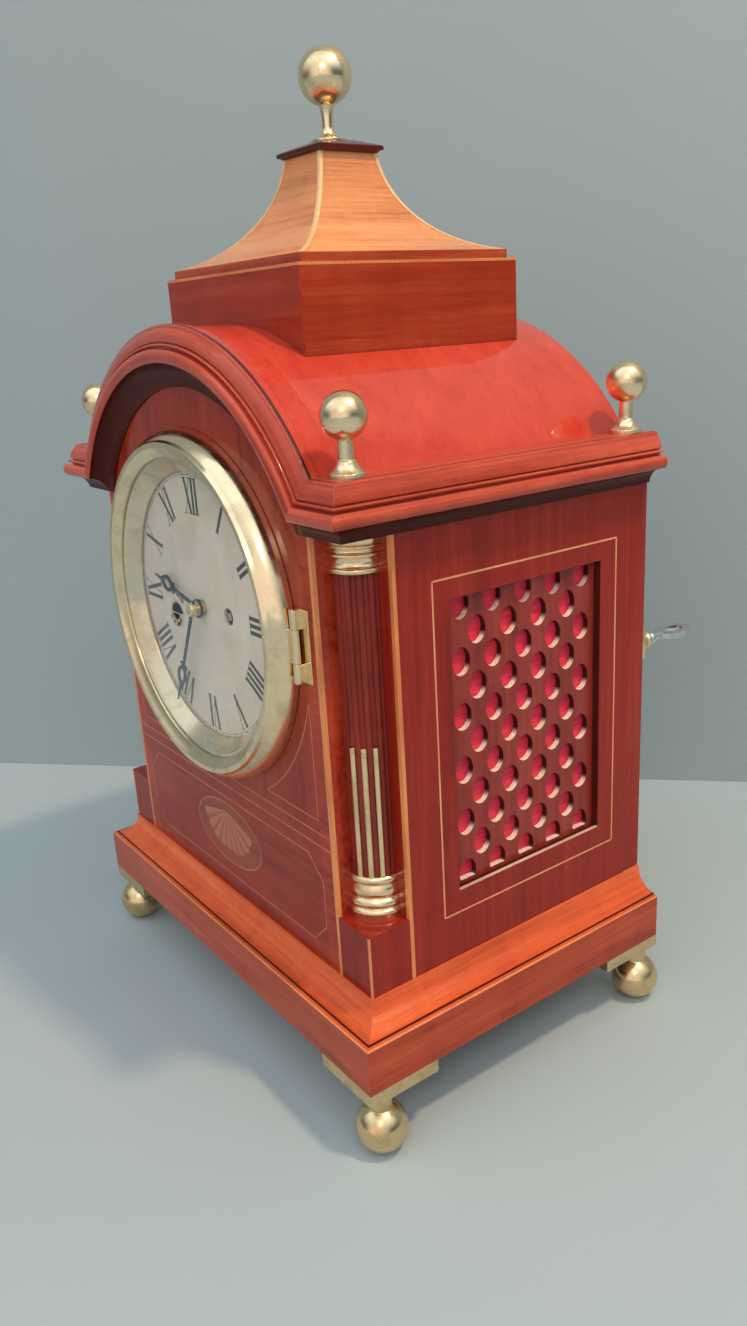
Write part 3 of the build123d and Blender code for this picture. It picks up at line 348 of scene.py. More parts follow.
def plinth_mahogany():
    material, tree, shader, place = new_material("plinth_mahogany")
    z = axes(tree, place)[2]
    hollow = calc(tree, "GREATER_THAN", z, PLINTH_LINE_Z)
    low, high = (calc(tree, "GREATER_THAN", z, level) for level in PLINTH_STEP_Z)
    # The hollow takes the painted lit tones, and the step below it the painted shade.
    woods = overlaid(tree, hollow, BOARD_WOODS, PAINTED_LIGHT_HOLLOW_WOODS)
    woods = overlaid(tree, calc(tree, "SUBTRACT", low, high), woods, PAINTED_SHADE_WOODS)
    polish(tree, shader, grain_round(tree, place, PLINTH_RUN), woods)
    return material


dress(plinth_mahogany(), "plinth_moulding")
plain_wood = mahogany("plain_wood", "x", PLAIN_WOODS)
dress(plain_wood, "base_board")


# Side panels and corner pedestals: solid mahogany boards with upright grain, glued up on the plinth
# and deep red under the polish. The recess for the fret is painted nearly black as shade.

PANEL_WOODS = ((0.21, 0.012, 0.006, 1), (0.29, 0.017, 0.008, 1), (0.38, 0.033, 0.015, 1))
RECESS_X = 0.1447
RECESS_MIDDLE_Y = -0.0033
RECESS_HALF = 0.0556


def recessed_mahogany():
    material, tree, shader, place = new_material("panel_mahogany")
    x, y, _ = axes(tree, place)
    sunk = calc(tree, "LESS_THAN", calc(tree, "ABSOLUTE", x), RECESS_X)
    along = calc(tree, "ABSOLUTE", calc(tree, "SUBTRACT", y, RECESS_MIDDLE_Y))
    recess = calc(tree, "MULTIPLY", sunk, calc(tree, "LESS_THAN", along, RECESS_HALF))
    # The fret's recess is painted nearly black as shade.
    woods = overlaid(tree, recess, PANEL_WOODS, PAINTED_SHADE_WOODS)
    polish(tree, shader, grain_along(tree, place, "z"), woods)
    return material


panel_mahogany = recessed_mahogany()
dress(panel_mahogany, "side_panel_right", "side_panel_left", "corner_pedestals")


# Front panel: a board faced with mahogany veneers. The upper field has upright grain round the
# dial, the lower field has level grain, and a crossband runs up both edges. Its arched top edge is
# as red as the roof.

FRONT_Y = -0.1194
FRONT_SKIN = 0.0006
LEDGE_Z = 0.3545
CROSSBAND_X = 0.1065
LOWER_FIELD_Z = 0.163
FRONT_WOODS = ((0.19, 0.014, 0.006, 1), (0.33, 0.026, 0.009, 1), (0.43, 0.044, 0.019, 1))
CROSSBAND_WOODS = ((0.21, 0.016, 0.007, 1), (0.40, 0.034, 0.012, 1), (0.52, 0.058, 0.024, 1))
ROOF_WOODS = ((0.50, 0.036, 0.018, 1), (0.60, 0.050, 0.026, 1), (0.69, 0.072, 0.038, 1))


def front_veneers():
    material, tree, shader, place = new_material("front_veneers")
    x, y, z = axes(tree, place)
    band = calc(tree, "GREATER_THAN", calc(tree, "ABSOLUTE", x), CROSSBAND_X)
    low = calc(tree, "LESS_THAN", z, LOWER_FIELD_Z)
    upright, level = grain_along(tree, place, "z"), grain_along(tree, place, "x")
    vector = either(tree, calc(tree, "MAXIMUM", band, low), upright, level)
    edge = calc(tree, "GREATER_THAN", y, FRONT_Y + FRONT_SKIN)
    top = calc(tree, "MULTIPLY", edge, calc(tree, "GREATER_THAN", z, LEDGE_Z))
    woods = overlaid(tree, band, FRONT_WOODS, CROSSBAND_WOODS)
    polish(tree, shader, vector, overlaid(tree, top, woods, ROOF_WOODS))
    return material


dress(front_veneers(), "front_panel")


# Stringing: thin boxwood lines let into grooves, flush with the polish and stained gold by it.
# Square sticks sit on the arrises of the column notches and the pedestals.

SIDE_X = 0.145
BODY_Z = 0.086
CORNICE_Z = 0.3265
INLAY_LIFT = 0.0001
INLAY_COAT = 0.35
STREAK_DEEP = 0.00001


def boxwood(name, dark, light):
    """Close pale wood with a faint streak, under the same polish as the mahogany."""
    material, tree, shader, place = new_material(name)
    streak = noise(tree, grain_along(tree, place, "z"), (40, 700, 700))
    patch = noise(tree, place, 30, 2.0)
    tone = calc(tree, "MULTIPLY_ADD", patch, 0.6, calc(tree, "MULTIPLY", streak, 0.5))
    finish = {
        "Base Color": tint(tree, rise(tree, tone, 0.35, 0.75), dark, light),
        "Roughness": rise(tree, streak, 0.3, 0.7, 0.42, 0.30),
        "Coat Weight": INLAY_COAT,
        "Coat Roughness": 0.08,
    }
    feed_all(tree, shader, finish)
    raise_surface(tree, shader, streak, STREAK_DEEP)
    return material


def strip(bm, start, end, out, width, lift=INLAY_LIFT):
    """Flat line from start to end on a face whose outward normal is given."""
    start, end, out = Vector(start), Vector(end), Vector(out)
    along = (end - start).normalized()
    turn = Matrix((along, out.cross(along), out)).transposed().to_4x4()
    size = Matrix.Diagonal(((end - start).length, width, 2 * lift, 1))
    place = Matrix.Translation((start + end) / 2)
    bmesh.ops.create_cube(bm, size=1.0, matrix=place @ turn @ size)


def outline(bm, corners, out, width):
    """Flat lines from each corner to the next and back to the first."""
    for start, end in zip(corners, corners[1:] + corners[:1]):
        strip(bm, start, end, out, width)


def block(bm, first, second):
    """Square-edged stick between two opposite corners."""
    first, second = Vector(first), Vector(second)
    size = Matrix.Diagonal((*(abs(length) for length in second - first), 1))
    place = Matrix.Translation((first + second) / 2)
    bmesh.ops.create_cube(bm, size=1.0, matrix=place @ size)


def arris_stick(bm, side, x, y, size, top):
    """Square stick standing on the body's foot, let into an upright arris."""
    inner = (side * (x - size), y + size, top)
    block(bm, inner, (side * (x + INLAY_LIFT), y - INLAY_LIFT, BODY_Z))


def new_object(name, bm, material):
    """Object at the origin, made from a finished bmesh."""
    mesh = bpy.data.meshes.new(name)
    bm.to_mesh(mesh)
    bm.free()
    mesh.materials.append(material)
    made = bpy.data.objects.new(name, mesh)
    bpy.context.scene.collection.objects.link(made)
    return made


def keep(name, bm, material, body):
    """Makes the mesh a piece that rides on a body."""
    bmesh.ops.recalc_face_normals(bm, faces=bm.faces)
    piece = new_object(name, bm, material)
    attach(piece, body)
    return piece


gold_boxwood = boxwood("gold_boxwood", (0.62, 0.17, 0.045, 1), (0.86, 0.29, 0.085, 1))
toned_boxwood = boxwood("toned_boxwood", (0.44, 0.10, 0.042, 1), (0.58, 0.155, 0.066, 1))
pale_boxwood = boxwood("pale_boxwood", (0.70, 0.25, 0.11, 1), (0.90, 0.40, 0.19, 1))

NOTCH_X = 0.1182
NOTCH_Y = -0.0926
PEDESTAL_TOP = 0.122
STICK = 0.0023
PEDESTAL_STICK = 0.0010

sticks = bmesh.new()
for side in (-1, 1):
    arris_stick(sticks, side, NOTCH_X, FRONT_Y, STICK, CORNICE_Z)
    arris_stick(sticks, side, SIDE_X, NOTCH_Y, STICK, CORNICE_Z)
keep("arris_stringing", sticks, gold_boxwood, "case")

sticks = bmesh.new()
for side in (-1, 1):
    arris_stick(sticks, side, SIDE_X, FRONT_Y, PEDESTAL_STICK, PEDESTAL_TOP)
keep("pedestal_stringing", sticks, gold_boxwood, "case")

PLINTH_LINE = 0.0009
PLINTH_LINE_OUT = 0.0155
BACK_Y = 0.0886

# A pale line along the top arris of the plinth board is a painted highlight.
lines = bmesh.new()
x, y, z = SIDE_X + PLINTH_LINE_OUT, FRONT_Y - PLINTH_LINE_OUT, PLINTH_LINE_Z
strip(lines, (-x, y, z), (x, y, z), Vector((0, -1, 1)).normalized(), PLINTH_LINE)
for side in (-1, 1):
    out = Vector((side, 0, 1)).normalized()
    strip(lines, (side * x, y, z), (side * x, BACK_Y, z), out, PLINTH_LINE)
keep("plinth_painted_highlight", lines, gold_boxwood, "case")

SIDE_LINE = 0.0010
SIDE_LINE_Y = (-0.0687, 0.0634)
SIDE_LINE_Z = (0.1129, 0.2993)

lines = bmesh.new()
(y0, y1), (z0, z1) = SIDE_LINE_Y, SIDE_LINE_Z
for side in (-1, 1):
    corners = [(side * SIDE_X, y, z) for y, z in ((y0, z0), (y1, z0), (y1, z1), (y0, z1))]
    outline(lines, corners, (side, 0, 0), SIDE_LINE)
keep("side_stringing", lines, pale_boxwood, "case")

DIAL_Z = 0.2705
FRONT_LINE = 0.0008
SPANDREL_X = 0.106
SPANDREL_Z = 0.1745
SPANDREL_R = 0.110
SPANDREL_STEPS = 24
CROSS_LINES_Z = (0.1595, 0.167)
CROSS_LINE_X = 0.1155
TABLET_Z = (0.0975, 0.151)
TABLET_CANT = 0.013


def swept(bm, geom, sweep, steps, closed=False):
    """Spins a section round the Y axis, from +X towards +Z."""
    bmesh.ops.spin(
        bm,
        geom=geom,
        cent=(0, 0, 0),
        axis=(0, -1, 0),
        angle=sweep,
        steps=steps,
        use_merge=closed,
        use_duplicate=False,
    )


def ring_section(bm, radius, half, lift, start=0.0):
    """Cross-section of a flat line at that radius, turned to the start angle."""
    low, high = radius - half, radius + half
    return bm.faces.new(
        bm.verts.new((r * math.cos(start), y, r * math.sin(start)))
        for r, y in ((low, -lift), (high, -lift), (high, lift), (low, lift))
    )


drop = DIAL_Z - SPANDREL_Z
reach = math.sqrt(SPANDREL_R**2 - drop**2)
shoulder_z = DIAL_Z - math.sqrt(SPANDREL_R**2 - SPANDREL_X**2)
front_out = (0, -1, 0)
for side, word in ((-1, "left"), (1, "right")):
    lines = bmesh.new()
    first = math.atan2(-drop, side * reach)
    last = math.atan2(shoulder_z - DIAL_Z, side * SPANDREL_X)
    section = ring_section(lines, SPANDREL_R, FRONT_LINE / 2, INLAY_LIFT, first)
    swept(lines, [section], last - first, SPANDREL_STEPS)
    bmesh.ops.translate(lines, vec=(0, FRONT_Y, DIAL_Z), verts=lines.verts)
    foot = (side * SPANDREL_X, FRONT_Y, SPANDREL_Z)
    strip(lines, (side * SPANDREL_X, FRONT_Y, shoulder_z), foot, front_out, FRONT_LINE)
    strip(lines, foot, (side * reach, FRONT_Y, SPANDREL_Z), front_out, FRONT_LINE)
    keep("spandrel_stringing_" + word, lines, toned_boxwood, "case")

lines = bmesh.new()
for z in CROSS_LINES_Z:
    strip(lines, (-CROSS_LINE_X, FRONT_Y, z), (CROSS_LINE_X, FRONT_Y, z), front_out, FRONT_LINE)
z0, z1 = TABLET_Z
near, far = SPANDREL_X - TABLET_CANT, SPANDREL_X
corners = [(-near, z0), (near, z0), (far, z0 + TABLET_CANT), (far, z1 - TABLET_CANT)]
corners += [(-x, z0 + z1 - z) for x, z in corners]
outline(lines, [(x, FRONT_Y, z) for x, z in corners], front_out, FRONT_LINE)
keep("front_stringing", lines, toned_boxwood, "case")


# Oval patera: a marquetry shell of sand-shaded satinwood ribs in a warm oval ground, ringed by a
# boxwood line and let into the lower front.

PATERA_Z = 0.1265
PATERA_HALF = (0.0395, 0.0207)
PATERA_LINE = 0.0010
PATERA_SEGMENTS = 96
GROUND_LIFT = 0.00005
VENEER = 0.0001
GROUND_WOODS = ((0.22, 0.034, 0.018, 1), (0.32, 0.055, 0.027, 1), (0.40, 0.08, 0.04, 1))
SHELL_HINGE_Z = 0.1415
SHELL_RIBS = 9
SHELL_HALF_ANGLE = math.radians(77)
SHELL_HUB_R = 0.0012
SHELL_R = 0.031
SHELL_CUTS = 5
STEPS_PER_RIB = 6
SHELL_SCALLOP = 0.05
SHELL_SQUEEZE = 0.14
SHELL_LIFT = 0.0003
SHELL_VENEER = 0.00012
SATINWOOD = (0.54, 0.12, 0.042, 1)
SCORCHED = (0.23, 0.034, 0.014, 1)


def oval(bm, inset, lift):
    """Flat loop inside the patera's edge, lifted before the front panel."""
    turn = Matrix.Rotation(math.pi / 2, 4, "X")
    place = Matrix.Translation((0, FRONT_Y - lift, PATERA_Z)) @ turn
    size = Matrix.Diagonal((PATERA_HALF[0] - inset, PATERA_HALF[1] - inset, 1, 1))
    return bmesh.ops.create_circle(
        bm, cap_ends=False, radius=1.0, segments=PATERA_SEGMENTS, matrix=place @ size
    )["verts"]


def shell_wood():
    """Ribs shaded dark along one edge, as veneer scorched in hot sand is."""
    material, tree, shader, place = new_material("shell_wood")
    x, _, z = axes(tree, place)
    angle = calc(tree, "ARCTAN2", x, calc(tree, "SUBTRACT", SHELL_HINGE_Z, z))
    per_radian = SHELL_RIBS / (2 * SHELL_HALF_ANGLE)
    rib = calc(tree, "FRACT", calc(tree, "MULTIPLY_ADD", angle, per_radian, 0.5 * SHELL_RIBS))
    streak = noise(tree, place, 240)
    scorch = rise(tree, calc(tree, "MULTIPLY_ADD", streak, 0.3, rib), 0.55, 1.2)
    finish = {
        "Base Color": tint(tree, scorch, SATINWOOD, SCORCHED),
        "Roughness": rise(tree, streak, 0.3, 0.7, 0.40, 0.28),
        "Coat Weight": INLAY_COAT,
        "Coat Roughness": 0.07,
    }
    feed_all(tree, shader, finish)
    raise_surface(tree, shader, streak, STREAK_DEEP)
    return material


ground = bmesh.new()
bmesh.ops.contextual_create(ground, geom=oval(ground, PATERA_LINE, GROUND_LIFT))
bmesh.ops.solidify(ground, geom=list(ground.faces), thickness=VENEER)
keep("patera_ground", ground, mahogany("oval_ground", "x", GROUND_WOODS), "case")

ring = bmesh.new()
for inset in (0, PATERA_LINE):
    oval(ring, inset, INLAY_LIFT)
bmesh.ops.bridge_loops(ring, edges=list(ring.edges))
bmesh.ops.solidify(ring, geom=list(ring.faces), thickness=VENEER)
keep("patera_line", ring, toned_boxwood, "case")

shell = bmesh.new()
ends = [shell.verts.new((0, 0, -radius)) for radius in (SHELL_HUB_R, SHELL_R)]
bmesh.ops.subdivide_edges(shell, edges=[shell.edges.new(ends)], cuts=SHELL_CUTS)
first_turn = Matrix.Rotation(SHELL_HALF_ANGLE, 3, "Y")
bmesh.ops.rotate(shell, cent=(0, 0, 0), matrix=first_turn, verts=shell.verts)
swept(shell, list(shell.edges), 2 * SHELL_HALF_ANGLE, STEPS_PER_RIB * SHELL_RIBS)
for vert in shell.verts:
    turn = math.atan2(vert.co.x, -vert.co.z)
    share = (turn + SHELL_HALF_ANGLE) / (2 * SHELL_HALF_ANGLE) * SHELL_RIBS % 1.0
    crown = math.sqrt(max(0.0, 1 - (2 * share - 1) ** 2))
    scallop = 1 - SHELL_SCALLOP * (1 - crown)
    squeeze = 1 - SHELL_SQUEEZE * (1 - abs(math.sin(turn)))
    vert.co = Vector((vert.co.x * scallop, 0, vert.co.z * scallop * squeeze))
bmesh.ops.translate(shell, vec=(0, FRONT_Y - SHELL_LIFT, SHELL_HINGE_Z), verts=shell.verts)
bmesh.ops.solidify(shell, geom=list(shell.faces), thickness=SHELL_VENEER)
keep("patera_shell", shell, shell_wood(), "case")


# Side frets: thin dark mahogany, sawn through with rows of oval holes and set in a recess.
# The holes' upward-facing walls are left raw and pale, their other walls are painted dark as shade,
# and a light slip lines the foot of the recess.

FRET_Y = (-0.0577, 0.0510)
FRET_FOOT_Z = 0.1257
FRET_SLIP = 0.0017
FRET_SLIP_IN = 0.0002
FRET_SLIP_T = 0.0006
FRET_WOODS = ((0.18, 0.020, 0.014, 1), (0.29, 0.033, 0.022, 1), (0.38, 0.055, 0.038, 1))
RAW_WOODS = ((0.74, 0.54, 0.42, 1), (1.0, 0.84, 0.72, 1))
EDGE_PAINTED_SHADE = (0.035, 0.010, 0.007, 1)
SAW_DEEP = 0.00003


def sawn_fret():
    """Polished face, with the holes' upward walls raw from the saw and their other walls painted
    dark as shade.
    """
    material, tree, shader, place = new_material("sawn_fret")
    x, y, z = axes(tree, tree.nodes.new("ShaderNodeTexCoord").outputs["Normal"])
    edge = calc(tree, "LESS_THAN", calc(tree, "ABSOLUTE", x), 0.5)
    lean = calc(tree, "MULTIPLY_ADD", y, -0.2, z)
    sawn = calc(tree, "MULTIPLY", edge, rise(tree, lean, 0.4, 0.8))
    dark, mid, light = FRET_WOODS
    vector = grain_along(tree, place, "z")
    wood = use_group(tree, grain, Vector=vector, Dark=dark, Mid=mid, Light=light)
    marks = noise(tree, place, (900, 500, 500), 3.0)
    raw = tint(tree, rise(tree, marks, 0.3, 0.7), *RAW_WOODS)
    # Hole walls that don't face upward are painted dark as shade.
    shade_painted_walls = tint(tree, edge, wood["Color"], EDGE_PAINTED_SHADE)
    finish = {
        "Base Color": tint(tree, sawn, shade_painted_walls, raw),
        "Roughness": rise(tree, sawn, 0.0, 1.0, 0.32, 0.62),
        "Coat Weight": rise(tree, sawn, 0.0, 1.0, 0.35, 0.0),
        "Coat Roughness": 0.12,
        "Specular IOR Level": 0.15,
    }
    feed_all(tree, shader, finish)
    raise_surface(tree, shader, marks, SAW_DEEP)
    return material


dress(sawn_fret(), "fret_right", "fret_left")
raw_boxwood = boxwood("raw_boxwood", (0.60, 0.36, 0.24, 1), (0.85, 0.62, 0.46, 1))
slips = bmesh.new()
for side in (-1, 1):
    low = (side * (SIDE_X - FRET_SLIP), FRET_Y[0], FRET_FOOT_Z)
    block(slips, low, (side * (SIDE_X - FRET_SLIP_IN), FRET_Y[1], FRET_FOOT_Z + FRET_SLIP_T))
keep("fret_slips", slips, raw_boxwood, "case")


# Silks: plain woven crimson silk, cut to the fret and stretched behind it to let the sound out.
# It is slightly slack between the glued edges and shows a thread-fine weave.

SILK_X = 0.1360
SILK_SIZE = (0.1079, 0.1620)
SILK_SQUARES = (54, 36)
SILK_SLACK = 0.00025
SILK_WAVE = 0.4
SILK_WAVES = (21, 9)
SILK_T = 0.0002
WARP_PER_METRE = 1400
WEFT_PER_METRE = 1100
THREAD_DEEP = 0.00004
CRIMSONS = ((0.74, 0.012, 0.044, 1), (0.96, 0.040, 0.10, 1))


def crimson_silk():
    material, tree, shader, place = new_material("crimson_silk")
    _, y, z = axes(tree, place)
    warp = calc(tree, "SINE", calc(tree, "MULTIPLY", y, 2 * math.pi * WARP_PER_METRE))
    weft = calc(tree, "SINE", calc(tree, "MULTIPLY", z, 2 * math.pi * WEFT_PER_METRE))
    weave = calc(tree, "MULTIPLY", warp, weft)
    slub = noise(tree, place, (60, 40, 900))
    tone = calc(tree, "MULTIPLY_ADD", weave, 0.12, slub)
    finish = {
        "Base Color": tint(tree, rise(tree, tone, 0.3, 0.75), *CRIMSONS),
        "Roughness": rise(tree, slub, 0.3, 0.7, 0.50, 0.36),
        "Sheen Weight": 0.5,
        "Sheen Roughness": 0.35,
        "Sheen Tint": (1.0, 0.25, 0.35, 1),
    }
    feed_all(tree, shader, finish)
    raise_surface(tree, shader, weave, THREAD_DEEP)
    return material


def thicken(piece, thickness):
    """Gives a sheet its thickness, half to each side."""
    wall = piece.modifiers.new("thickness", "SOLIDIFY")
    wall.thickness = thickness
    wall.offset = 0.0


silk_finish = crimson_silk()
for side, word in ((-1, "left"), (1, "right")):
    cloth = bmesh.new()
    middle_y = sum(FRET_Y) / 2
    low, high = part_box("silk_" + word)
    middle_z = (low.z + high.z) / 2
    turn = Matrix.Rotation(math.pi / 2, 4, "Y")
    place = Matrix.Translation((side * SILK_X, middle_y, middle_z)) @ turn
    size = Matrix.Diagonal((SILK_SIZE[1], SILK_SIZE[0], 1, 1))
    across, down = SILK_SQUARES
    bmesh.ops.create_grid(
        cloth, x_segments=across, y_segments=down, size=0.5, matrix=place @ size
    )
    for vert in cloth.verts:
        u = (vert.co.y - middle_y) / SILK_SIZE[0]
        v = (vert.co.z - middle_z) / SILK_SIZE[1]
        slack = SILK_SLACK * math.cos(math.pi * u) * math.cos(math.pi * v)
        wave = math.sin(SILK_WAVES[0] * u + SILK_WAVES[1] * v)
        vert.co.x += side * slack * (1 - SILK_WAVE + SILK_WAVE * wave)
    piece = keep("silk_cloth_" + word, cloth, silk_finish, "case")
    thicken(piece, SILK_T)
    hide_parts("silk_" + word)


# Corner columns: turned and fluted in very dark mahogany. They stand on the pedestals in brass
# bases and capitals, with brass reeds stopping the lower flutes.

COLUMN_WOODS = ((0.09, 0.010, 0.008, 1), (0.21, 0.020, 0.014, 1), (0.34, 0.042, 0.028, 1))
PALE_BRASS = ((0.95, 0.71, 0.44, 1), (0.58, 0.38, 0.18, 1))

pale_brass = brass("pale_brass", *PALE_BRASS, age=0.5, gloss=0.14)
dress(mahogany("column_mahogany", "z", COLUMN_WOODS), "columns")
dress(pale_brass, "column_brasses")


# Cornice: level mouldings round the corners and an arched one over the dial, cut from mahogany with
# the grain along each run and mitred where they meet. The hollow at their foot is painted dark as
# shade and left dull, and a dark strip along the ledge above them is a painted shadow line.

LEDGE_OUT = 0.0037
LEDGE_LINE = 0.0013
LEDGE_MITRE_X = 0.1297
CORNICE_RUN = (0.1583, 0.1173, -0.0154)
CORNICE_HOLLOW_Z = CORNICE_Z + 0.0087
CORNICE_COAT = 0.6
ARCH_GRAIN_R = 0.14
ARCH_HOLLOW_R = 0.1352
ARCH_EDGE_R = 0.1542
ARCH_ARRIS_Y = FRONT_Y - 0.0034
ARCH_COAT = 0.7
DULL_COAT = 0.15
CORNICE_WOODS = ((0.34, 0.038, 0.020, 1), (0.52, 0.066, 0.033, 1), (0.68, 0.12, 0.062, 1))


def from_dial_middle(tree, x, z):
    """Height above the dial's middle, and distance from it."""
    up = calc(tree, "SUBTRACT", z, DIAL_Z)
    square = calc(tree, "MULTIPLY_ADD", x, x, calc(tree, "MULTIPLY", up, up))
    return up, calc(tree, "SQRT", square)


def arched_run():
    """Bends the grain round the arch over the dial."""
    tree, given, out = new_group("arched_run", {"Vector": "Vector"}, {"Vector": "Vector"})
    x, y, z = axes(tree, given["Vector"])
    up, radius = from_dial_middle(tree, x, z)
    along = calc(tree, "MULTIPLY", calc(tree, "ARCTAN2", x, up), ARCH_GRAIN_R)
    tree.links.new(joined(tree, along, radius, y), out.inputs["Vector"])
    return tree


def arch_mahogany():
    """Bent mahogany with a red outer edge; its hollow is painted dark as shade, and a painted
    shadow line runs along the outer edge's front arris.
    """
    material, tree, shader, place = new_material("arch_mahogany")
    vector = use_group(tree, arched_run(), Vector=place)["Vector"]
    _, radius, y = axes(tree, vector)
    # The hollow is painted dark as shade, and the arris mask below is a painted shadow line.
    hollow = calc(tree, "LESS_THAN", radius, ARCH_HOLLOW_R)
    outer = calc(tree, "GREATER_THAN", radius, ARCH_EDGE_R)
    arris = calc(tree, "MULTIPLY", outer, calc(tree, "LESS_THAN", y, ARCH_ARRIS_Y))
    woods = overlaid(tree, hollow, CORNICE_WOODS, PAINTED_SHADE_WOODS)
    woods = overlaid(tree, outer, woods, ROOF_WOODS)
    woods = overlaid(tree, arris, woods, PAINTED_SHADE_WOODS)
    polish(tree, shader, vector, woods, rise(tree, hollow, 0.0, 1.0, ARCH_COAT, DULL_COAT))
    return material


def cornice_mahogany():
    material, tree, shader, place = new_material("cornice_mahogany")
    hollow = calc(tree, "LESS_THAN", axes(tree, place)[2], CORNICE_HOLLOW_Z)
    # The hollow at the foot is painted dark as shade.
    woods = overlaid(tree, hollow, CORNICE_WOODS, PAINTED_SHADE_WOODS)
    coat = rise(tree, hollow, 0.0, 1.0, CORNICE_COAT, DULL_COAT)
    polish(tree, shader, grain_round(tree, place, CORNICE_RUN), woods, coat)
    return material


dress(arch_mahogany(), "front_cornice")
dress(cornice_mahogany(), "side_cornices")

# A dark strip along the ledge's outer edge is a painted shadow line.
lines = bmesh.new()
x, y = SIDE_X + LEDGE_OUT, FRONT_Y - LEDGE_OUT
for side in (-1, 1):
    corner = (side * x, y, LEDGE_Z)
    strip(lines, corner, (side * x, BACK_Y, LEDGE_Z), (0, 0, 1), LEDGE_LINE)
    strip(lines, (side * LEDGE_MITRE_X, y, LEDGE_Z), corner, (0, 0, 1), LEDGE_LINE)
painted_shadow_line = boxwood("painted_shadow_line", PAINTED_SHADE_WOODS[0], PAINTED_SHADE_WOODS[1])
keep("ledge_painted_shadow", lines, painted_shadow_line, "case")


# Roof: a curved mahogany shell over the movement, veneered with the grain from side to side and
# polished to a bright red. The back arch closes it behind.

ROOF_COAT = 0.9

dress(mahogany("roof_mahogany", "x", ROOF_WOODS, ROOF_COAT), "roof_barrel")
dress(panel_mahogany, "back_arch")


# Top box, pagoda and cap: a square mahogany box with a hollow-sided roof of golden mahogany on a
# redder square foot, and a moulded cap. Boxwood lines run along the top edge of the box and up the
# four hips.

BOX_HALF = 0.0715
BOX_Y = (-0.0844, 0.0606)
BOX_TOP = 0.4494
BOX_LINE = 0.0014
HIP_LINE = 0.0019
HIP_LINE_T = 0.0004
HIP_STEPS = 14
HIP_ARC = ((0.0045, 0.0048), (0.0371, 0.0232), (0.0535, 0.0588))
PAGODA_FOOT = 0.0049
BOX_WOODS = ((0.25, 0.022, 0.008, 1), (0.36, 0.035, 0.012, 1), (0.46, 0.062, 0.024, 1))
PAGODA_WOODS = ((0.54, 0.17, 0.060, 1), (0.74, 0.28, 0.11, 1), (0.86, 0.38, 0.165, 1))
FOOT_WOODS = ((0.26, 0.034, 0.014, 1), (0.40, 0.058, 0.022, 1), (0.54, 0.11, 0.042, 1))
# The cap's dark mahogany is deepened as painted shade for its shadowed slab edges.
CAP_WOODS = ((0.045, 0.007, 0.005, 1), (0.085, 0.012, 0.008, 1), (0.14, 0.023, 0.015, 1))

box_middle = sum(BOX_Y) / 2
box_run = (BOX_HALF, BOX_HALF, box_middle)


def pagoda_mahogany():
    material, tree, shader, place = new_material("pagoda_mahogany")
    foot = calc(tree, "LESS_THAN", axes(tree, place)[2], BOX_TOP + PAGODA_FOOT)
    woods = overlaid(tree, foot, PAGODA_WOODS, FOOT_WOODS)
    polish(tree, shader, grain_round(tree, place, box_run), woods)
    return material


dress(mahogany("box_mahogany", box_run, BOX_WOODS), "top_box")
dress(pagoda_mahogany(), "pagoda_roof")
dress(mahogany("cap_mahogany", box_run, CAP_WOODS), "pagoda_cap")

sticks = bmesh.new()
low, high, inside = BOX_TOP - BOX_LINE, BOX_TOP + INLAY_LIFT, BOX_HALF - BOX_LINE
for side in (-1, 1):
    outer = (side * (BOX_HALF + INLAY_LIFT), BOX_Y[1] + INLAY_LIFT, high)
    block(sticks, (side * inside, BOX_Y[0] - INLAY_LIFT, low), outer)
for y in BOX_Y:
    outward = math.copysign(1, y - box_middle)
    outer = (inside, y + outward * INLAY_LIFT, high)
    block(sticks, (-inside, y - outward * BOX_LINE, low), outer)
keep("box_stringing", sticks, gold_boxwood, "case")


def arc_middle(a, b, c):
    """Centre of the circle through three points."""
    (ax, ay), (bx, by), (cx, cy) = a, b, c
    aa, bb, cc = ax * ax + ay * ay, bx * bx + by * by, cx * cx + cy * cy
    d = 2 * (ax * (by - cy) + bx * (cy - ay) + cx * (ay - by))
    x = aa * (by - cy) + bb * (cy - ay) + cc * (ay - by)
    y = aa * (cx - bx) + bb * (ax - cx) + cc * (bx - ax)
    return Vector((x / d, y / d))


cream_boxwood = boxwood("cream_boxwood", (0.78, 0.42, 0.19, 1), (0.95, 0.62, 0.34, 1))
hub = arc_middle(*HIP_ARC)
first = Vector(HIP_ARC[0]) - hub
last = Vector(HIP_ARC[2]) - hub
turn = Matrix.Rotation(-first.angle_signed(last) / HIP_STEPS, 2)
for number, (side, y) in enumerate((s, y) for s in (-1, 1) for y in BOX_Y):
    outward = math.copysign(1, y - box_middle)
    hip = bmesh.new()
    arm = first.copy()
    here = hub + arm
    corner = Vector((side * (BOX_HALF - here.x), y - outward * here.x, BOX_TOP + here.y))
    corner += Vector((side, outward, 1)) * INLAY_LIFT
    across, back = Vector((side * HIP_LINE, 0, 0)), Vector((0, outward * HIP_LINE, 0))
    verts = [hip.verts.new(point) for point in (corner - across, corner, corner - back)]
    edges = [hip.edges.new(pair) for pair in zip(verts, verts[1:])]
    for _ in range(HIP_STEPS):
        arm = turn @ arm
        step = hub + arm - here
        here = hub + arm
        grown = bmesh.ops.extrude_edge_only(hip, edges=edges)["geom"]
        edges = [part for part in grown if isinstance(part, bmesh.types.BMEdge)]
        moved = [part for part in grown if isinstance(part, bmesh.types.BMVert)]
        bmesh.ops.translate(hip, vec=(-side * step.x, -outward * step.x, step.y), verts=moved)
    piece = keep(f"hip_stringing_{number}", hip, cream_boxwood, "case")
    thicken(piece, HIP_LINE_T)


